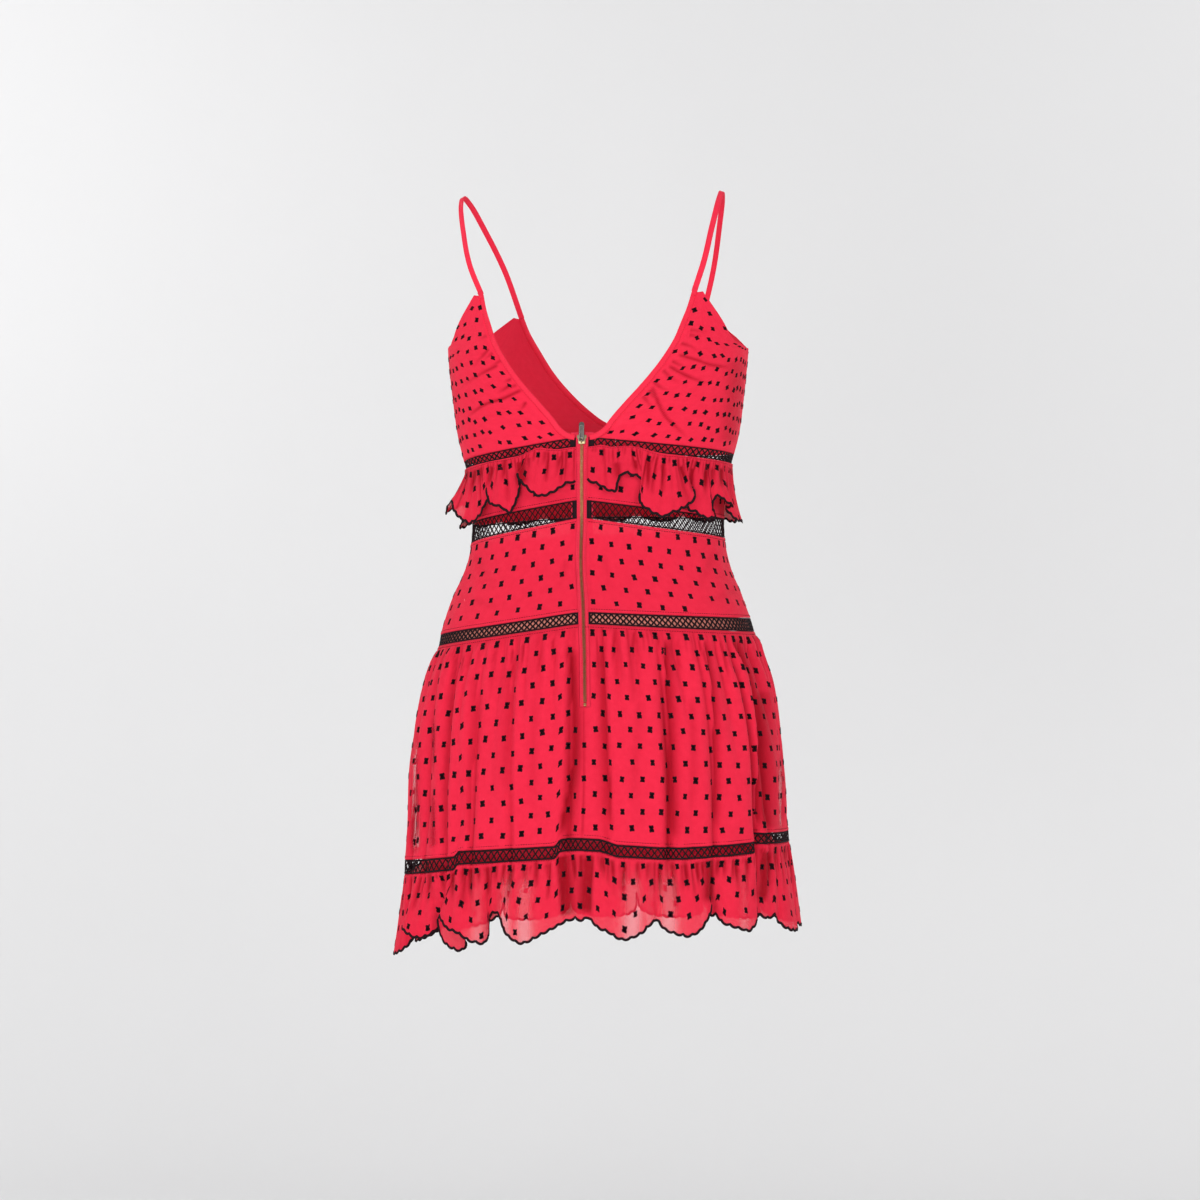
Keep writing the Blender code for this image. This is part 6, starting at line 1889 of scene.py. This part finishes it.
@dataclass(frozen=True)
class Zip:
    """The exposed zip: woven tapes, locked teeth, slider with its pull, and the stop."""

    tape_outer: float = 6.1
    tape_inner: float = 0.5
    tape_under: float = 11.6
    tape_rows: int = 220
    tape_columns: int = 15
    sewn_columns: tuple[float, float] = (4.2, 9.8)
    tape_shell: float = 0.45
    tape_sunk: float = 0.95
    net_height: float = -427.0
    net_dip: float = 1.3
    fold_dip: float = 1.6
    fold_tuck: float = 2.4
    flare: float = 3.4
    flare_height: float = 8.0
    tape_top: float = -254.0
    tape_bottom: float = -535.0
    tape_proud: float = 1.0
    teeth_top: float = -266.3
    teeth_bottom: float = -528.0
    tooth_pitch: float = 1.25
    tooth_rise: float = 0.55
    slider_height: float = -261.2
    slider_length: float = 9.4
    slider_top: float = 10.0
    slider_low: float = 7.6
    plate: float = 1.2
    pivot_drop: float = 1.6
    pivot_lift: float = 1.3
    tab_length: float = 20.0
    tab_width: float = 5.5
    tab_thick: float = 1.2
    tab_rail: float = 0.5
    plate_gap: float = 1.2
    plate_sunk: float = 0.4
    post_half: float = 1.3
    slider_bevel: float = 0.35
    bridge_shape: tuple[float, float, int] = (0.95, 1.3, 8)
    bridge_reach: float = 1.65
    bridge_rise: float = 2.0
    tab_bevel: float = 0.16
    slot_half: float = 0.9
    slot_top: float = 3.4
    rim_middle: float = 0.62
    rim_scale: tuple[float, float] = (0.72, 0.62)
    rim_shape: tuple[float, float, int] = (0.5, 0.3, 6)
    stop_half: float = 1.35
    stop_tall: float = 3.4
    stop_depths: tuple[float, float] = (2.1, -0.3)
    stop_bevel: float = 0.3

    def build(self) -> None:
        """Every piece of the zip."""
        for side in Side:
            self.build_tape(side)
        self.build_teeth()
        spot = self.slider_frame()
        self.build_slider(spot)
        self.build_pull(spot)
        self.build_stop()

    def build_tape(self, side: Side) -> None:
        """One woven tape: it opens at the top, and its outer part dips under cloth, net and folds."""
        heights = np.linspace(self.tape_top, self.tape_bottom, self.tape_rows)[:, None]
        opened = np.clip(1 - (self.tape_top - heights) / self.flare_height, 0, 1)
        inner = self.tape_inner + (self.flare - self.tape_inner) * opened
        behind_net = ease((self.net_height - heights) / 8.0)
        in_folds = ease((self.net_height - 20.0 - heights) / 12.0)
        outer = self.tape_under - self.fold_tuck * in_folds
        step = inner + (outer - inner) * np.linspace(0, 1, self.tape_columns)
        dip = ease((step - self.tape_outer + 0.9) / 1.6)
        depth = self.tape_sunk + self.net_dip * behind_net + self.fold_dip * in_folds
        proud = self.tape_proud * (1 - dip) - depth * dip + 0.12 * np.cos(np.minimum(step, 6.0) * 2.1)
        points = FIGURE.beside_zip(side.value * step, heights + 0 * step, proud)
        if side is Side.RIGHT:
            points = points[:, ::-1]
        surface = Surface(points)
        name = "zip_tape_" + side.word
        tape = settle(cloth_mesh("woven_" + name, surface, shell=self.tape_shell), TAPE, [name])
        rows = np.arange(self.tape_rows, dtype=float)
        column = np.full(self.tape_rows, self.sewn_columns[side is Side.RIGHT])
        sewn = stitches("stitches_" + name, [surface.line(rows, column, 0.1)], *TAPE_STITCH)
        settle(sewn, RED_THREAD)

    def build_teeth(self) -> None:
        """Brass teeth: a six-sided block with a nose, in turn from each side."""
        half = np.array([(-0.35, 0.27), (0.6, 0.36), (1.75, 0.40)])
        outline = np.concatenate([half, half[::-1] * (1, -1)])
        nose = at_depth(outline * (0.86, 0.72) + (0.1, 0), 0.62)
        points = np.concatenate([at_depth(outline, -0.62), nose])
        near = np.arange(6)
        faces = [ring_walls(6, 0, 6), np.stack([near[::-1], near + 6])]
        proud = self.tape_proud + self.tooth_rise
        count = int((self.teeth_top - self.teeth_bottom) / self.tooth_pitch)
        origins, frames = [], []
        for side in Side:
            shift = 0.0 if side is Side.LEFT else 0.5
            heights = self.teeth_top - (np.arange(count) + 0.25 + shift) * self.tooth_pitch
            here, above, off = (FIGURE.beside_zip(np.zeros(count), heights + lift, np.full(count, depth))
                                for lift, depth in ((0.0, proud), (1.0, proud), (0.0, 5.0)))
            up, out = unit(above - here), unit(off - here)
            across = unit(np.cross(out, up))
            across = np.where(across[:, :1] * side.value > 0, across, -across)
            origins.append(here)
            frames.append(np.stack([across, out, up], axis=1))
        teeth = repeated("teeth_brass", points, faces, np.concatenate(origins), np.concatenate(frames))
        outwards(teeth)
        teeth.data.shade_flat()
        settle(teeth, BRASS, ["zip_chain"])

    def slider_frame(self) -> Matrix:
        """The slider's own frame: Y out of the back, Z up along the zip, in metres."""
        here = FIGURE.beside_zip(0.0, self.slider_height, 0.0)
        above = FIGURE.beside_zip(0.0, self.slider_height + self.slider_length / 2, 0.0)
        up = Vector(above - here).normalized()
        out = Vector((1, 0, 0)).cross(up).normalized() * -1
        turn = Matrix((out.cross(up), out, up)).transposed().to_4x4()
        return Matrix.Translation(Vector(here) * MM) @ turn

    def plate_block(self, outline: Array, low: float, high: float) -> tuple[Array, list[Array]]:
        """A flat plate: its outline in the zip's plane, from one depth to another."""
        count = len(outline)
        near = np.arange(count)
        points = np.concatenate([at_depth(outline, low), at_depth(outline, high)])
        return points, [ring_walls(count, 0, count), np.stack([near[::-1], near + count])]

    def build_slider(self, spot: Matrix) -> None:
        """The slider: a shouldered plate, an under plate, a post between them and a bridge."""
        half, low, length = self.slider_top / 2, self.slider_low / 2, self.slider_length / 2
        right = [(low * 0.9, -length), (low, -length * 0.6), (low, 0.0), (half, length * 0.45),
                 (half, length * 0.8), (half * 0.78, length), (half * 0.3, length), (0.0, length * 0.86)]
        outline = np.array(right + [(-x, z) for x, z in right[-2::-1]])
        face = self.tape_proud + LAYER_GAP
        under = self.tape_proud - self.plate_gap - LAYER_GAP
        post = self.post_half
        blocks = [
            self.plate_block(outline, face, face + self.plate),
            self.plate_block(outline, under - self.plate, under),
            self.plate_block(np.array([(post, 1.0 - length), (post, length - 0.9), (-post, length - 0.9),
                                       (-post, 1.0 - length)]), under - self.plate_sunk,
                             face + self.plate_sunk),
        ]
        slider = blocks_mesh("slider_body", blocks, spot)
        bevel(slider, self.slider_bevel)
        settle(slider, SLIDER_BRASS, ["zip_slider"])
        arch = np.linspace(-0.15 * math.pi, 1.15 * math.pi, 22)
        top = face + self.plate
        rise = self.pivot_lift + self.bridge_rise * np.sin(arch)
        path = np.stack([0 * arch, top - 0.5 + np.maximum(rise, 0),
                         -self.pivot_drop - self.bridge_reach * np.cos(arch)], axis=1)
        normals = np.tile([1.0, 0.0, 0.0], (len(arch), 1))
        bridge = carried("slider_bridge", [(path, normals)], oval(*self.bridge_shape))
        bridge.data.transform(spot)
        settle(bridge, SLIDER_BRASS)

    def build_pull(self, spot: Matrix) -> None:
        """The pull tab: a rounded plate with a raised rim and a slot for the bridge."""
        face = self.tape_proud + LAYER_GAP + self.plate
        pivot = spot @ Matrix.Translation(Vector((0, face + self.pivot_lift, -self.pivot_drop)) * MM)
        half, thick = self.tab_width / 2, self.tab_thick / 2
        arc = np.linspace(0, math.pi, 15)
        top = self.tab_length - self.tab_rail - half
        corner, rail = 0.9, self.tab_rail
        right = [(half - corner, -rail), (half - 0.25, 0.3 - rail), (half, corner)]
        left = [(-half, corner), (0.25 - half, 0.3 - rail)]
        outline = np.array([(corner - half, -rail), *right,
                            *((half * math.cos(a), top + half * math.sin(a)) for a in arc), *left])
        slot, high = self.slot_half, self.slot_top
        ring = [(slot, rail), (slot, high), (0.0, high + 0.5), (-slot, high), (-slot, rail)]
        hole = nearest_ring(outline, np.array(ring))
        tab = framed_plate("pull_tab", outline, hole, thick, pivot)
        bevel(tab, self.tab_bevel)
        settle(tab, SUNK_GUNMETAL, ["zip_pull"], PULL_BODY)
        centre = np.array([0.0, top * self.rim_middle])
        rim = centre + (outline - centre) * self.rim_scale
        normals = np.tile([0.0, 1.0, 0.0], (len(rim), 1))
        raised = carried("pull_rim", [(at_depth(rim, thick), normals)], oval(*self.rim_shape), loop=True)
        raised.data.transform(pivot)
        settle(raised, GUNMETAL, (), PULL_BODY)

    def build_stop(self) -> None:
        """The stop: a small clip round the two tapes below the last tooth."""
        top = self.teeth_bottom - LAYER_GAP
        across = self.stop_half * np.array([-1, 1])
        corners = [FIGURE.beside_zip(across, height, proud)
                   for proud in self.stop_depths for height in (top, top - self.stop_tall)]
        points = np.concatenate(corners)
        quads = np.array([(0, 1, 3, 2), (4, 6, 7, 5), (0, 2, 6, 4), (1, 5, 7, 3), (0, 4, 5, 1), (2, 3, 7, 6)])
        stop = new_mesh("stop_clip", points, [quads], np.zeros((24, 2)))
        outwards(stop)
        bevel(stop, self.stop_bevel)
        settle(stop, BRASS, ["zip_bottom_stop"])


def nearest_ring(outline: Array, ring: Array) -> Array:
    """A point on a small ring for each point of an outline, in the same direction."""
    centre = ring.mean(axis=0)
    closed = np.vstack([ring, ring[:1]])
    fine = np.concatenate([np.linspace(closed[i], closed[i + 1], 40, endpoint=False)
                           for i in range(len(ring))])
    angles = np.arctan2(*(fine - centre).T)
    order = np.argsort(angles)
    evenly = np.arctan2(*(outline - centre).T)
    ranks = np.argsort(np.argsort(evenly)) / len(outline)
    start = np.searchsorted(angles[order], evenly.min()) / len(fine)
    return fine[order][((ranks + start) % 1 * len(fine)).astype(int)]


def framed_plate(name: str, outline: Array, hole: Array, thick: float, spot: Matrix):
    """A flat plate with a hole: rings of the outline and of the hole on both faces, joined."""
    count = len(outline)
    layers = [at_depth(line, depth)
              for line, depth in ((outline, -thick), (outline, thick), (hole, thick), (hole, -thick))]
    quads = [ring_walls(count, a * count, b * count) for a, b in ((0, 1), (1, 2), (2, 3), (3, 0))]
    made = new_mesh(name, np.concatenate(layers), [np.concatenate(quads)])
    made.data.transform(spot)
    outwards(made)
    return made


def blocks_mesh(name: str, blocks: Sequence[tuple[Array, list[Array]]], spot: Matrix):
    """Several closed blocks as one object in a frame."""
    points, groups, start = [], {}, 0
    for place, faces in blocks:
        points.append(place)
        for face in faces:
            groups.setdefault(face.shape[1], []).append(face + start)
        start += len(place)
    made = new_mesh(name, np.concatenate(points), [np.concatenate(group) for group in groups.values()])
    made.data.transform(spot)
    outwards(made)
    return made


def outwards(made: bpy.types.Object) -> None:
    """Turn the faces of closed blocks outwards."""
    work = bmesh.new()
    work.from_mesh(made.data)
    bmesh.ops.recalc_face_normals(work, faces=work.faces)
    work.to_mesh(made.data)
    work.free()


def bevel(made: bpy.types.Object, width: float) -> None:
    """Round a hard piece's edges."""
    rounded = made.modifiers.new("rounded", "BEVEL")
    rounded.width = width * MM
    rounded.segments = 3
    rounded.limit_method = "ANGLE"
    rounded.angle_limit = math.radians(35)


@dataclass(frozen=True)
class Studio:
    """The pale floor that curves up into a wall, and the soft lights."""

    floor: float = -1.42
    wall: float = -2.6
    corner: float = 0.9
    width: float = 5.0
    front: float = 4.2
    shade: Colour = (0.77, 0.77, 0.775)
    glow: float = 0.42
    lights: tuple[tuple, ...] = (
        ("key", (2.0, 2.3, 1.5), 35.0, 1.5), ("fill", (-2.0, 2.5, 0.5), 43.0, 1.8),
        ("low", (0.6, 2.8, -1.2), 40.0, 1.4), ("wall_left", (2.6, -0.9, 0.8), 25.0, 1.4),
        ("wall_right", (-2.6, -0.9, 0.8), 23.0, 1.4),
    )

    def build(self) -> None:
        """The backdrop and the lights."""
        bend = np.linspace(0, math.pi / 2, 24)
        y = np.concatenate([[self.front], self.wall + self.corner * (1 - np.sin(bend)), [self.wall]])
        z = np.concatenate([[self.floor], self.floor + self.corner * (1 - np.cos(bend)), [2.6]])
        x = np.linspace(-self.width, self.width, 9)[:, None]
        points = np.stack(np.broadcast_arrays(x, y, z), axis=-1)
        wide = len(y)
        r, c = np.indices((8, wide - 1)).reshape(2, -1)
        first = r * wide + c
        quads = np.stack([first, first + wide, first + wide + 1, first + 1], axis=1)
        backdrop = new_mesh("backdrop", points.reshape(-1, 3) / MM, [quads])
        backdrop.data.materials.append(painted("pale_paint", self.paint))
        for light in self.lights:
            self.light(*light)
        world = bpy.context.scene.world or bpy.data.worlds.new("studio")
        bpy.context.scene.world = world
        world.use_nodes = True
        sky = world.node_tree.nodes["Background"]
        sky.inputs["Color"].default_value = (1.0, 1.0, 1.0, 1.0)
        sky.inputs["Strength"].default_value = self.glow

    def paint(self, nodes: Nodes) -> dict:
        """The inputs of the backdrop's paint: faint, broad clouds."""
        place = nodes.add("ShaderNodeTexCoord").outputs["Object"]
        cloud = nodes.add("ShaderNodeTexNoise", {"Vector": place, "Scale": 1.5, "Detail": 2.0})
        tone = nodes.mix(cloud.outputs["Fac"], tuple(v * 0.97 for v in self.shade), self.shade)
        return {"Base Color": tone, "Roughness": 0.9}

    def light(self, name: str, place: tuple[float, float, float], power: float, size: float) -> None:
        """One soft square light that looks at the dress, or at the wall if it stands behind the dress."""
        data = bpy.data.lights.new(name, "AREA")
        data.energy = power
        data.size = size
        lamp = bpy.data.objects.new(name, data)
        lamp.location = place
        aim = Vector((0, 0 if place[1] > 0 else self.wall, EYE.height * MM))
        lamp.rotation_euler = (aim - Vector(place)).to_track_quat("-Z", "Y").to_euler()
        bpy.context.scene.collection.objects.link(lamp)


def main() -> None:
    """Dress every node of the part, and set up the studio and the camera."""
    logging.basicConfig(level=logging.INFO, format="%(name)s: %(message)s")
    bpy.context.scene.view_settings.view_transform = "Standard"
    EYE.make_camera()
    Bodice().build()
    Torso().build()
    Skirt().build()
    UPPER_FRILL.build((1.15, 0.05), 51)
    HEM_FRILL.build((1.75, 0.078), 71)
    Zip().build()
    Studio().build()


if __name__ == "__main__":
    main()
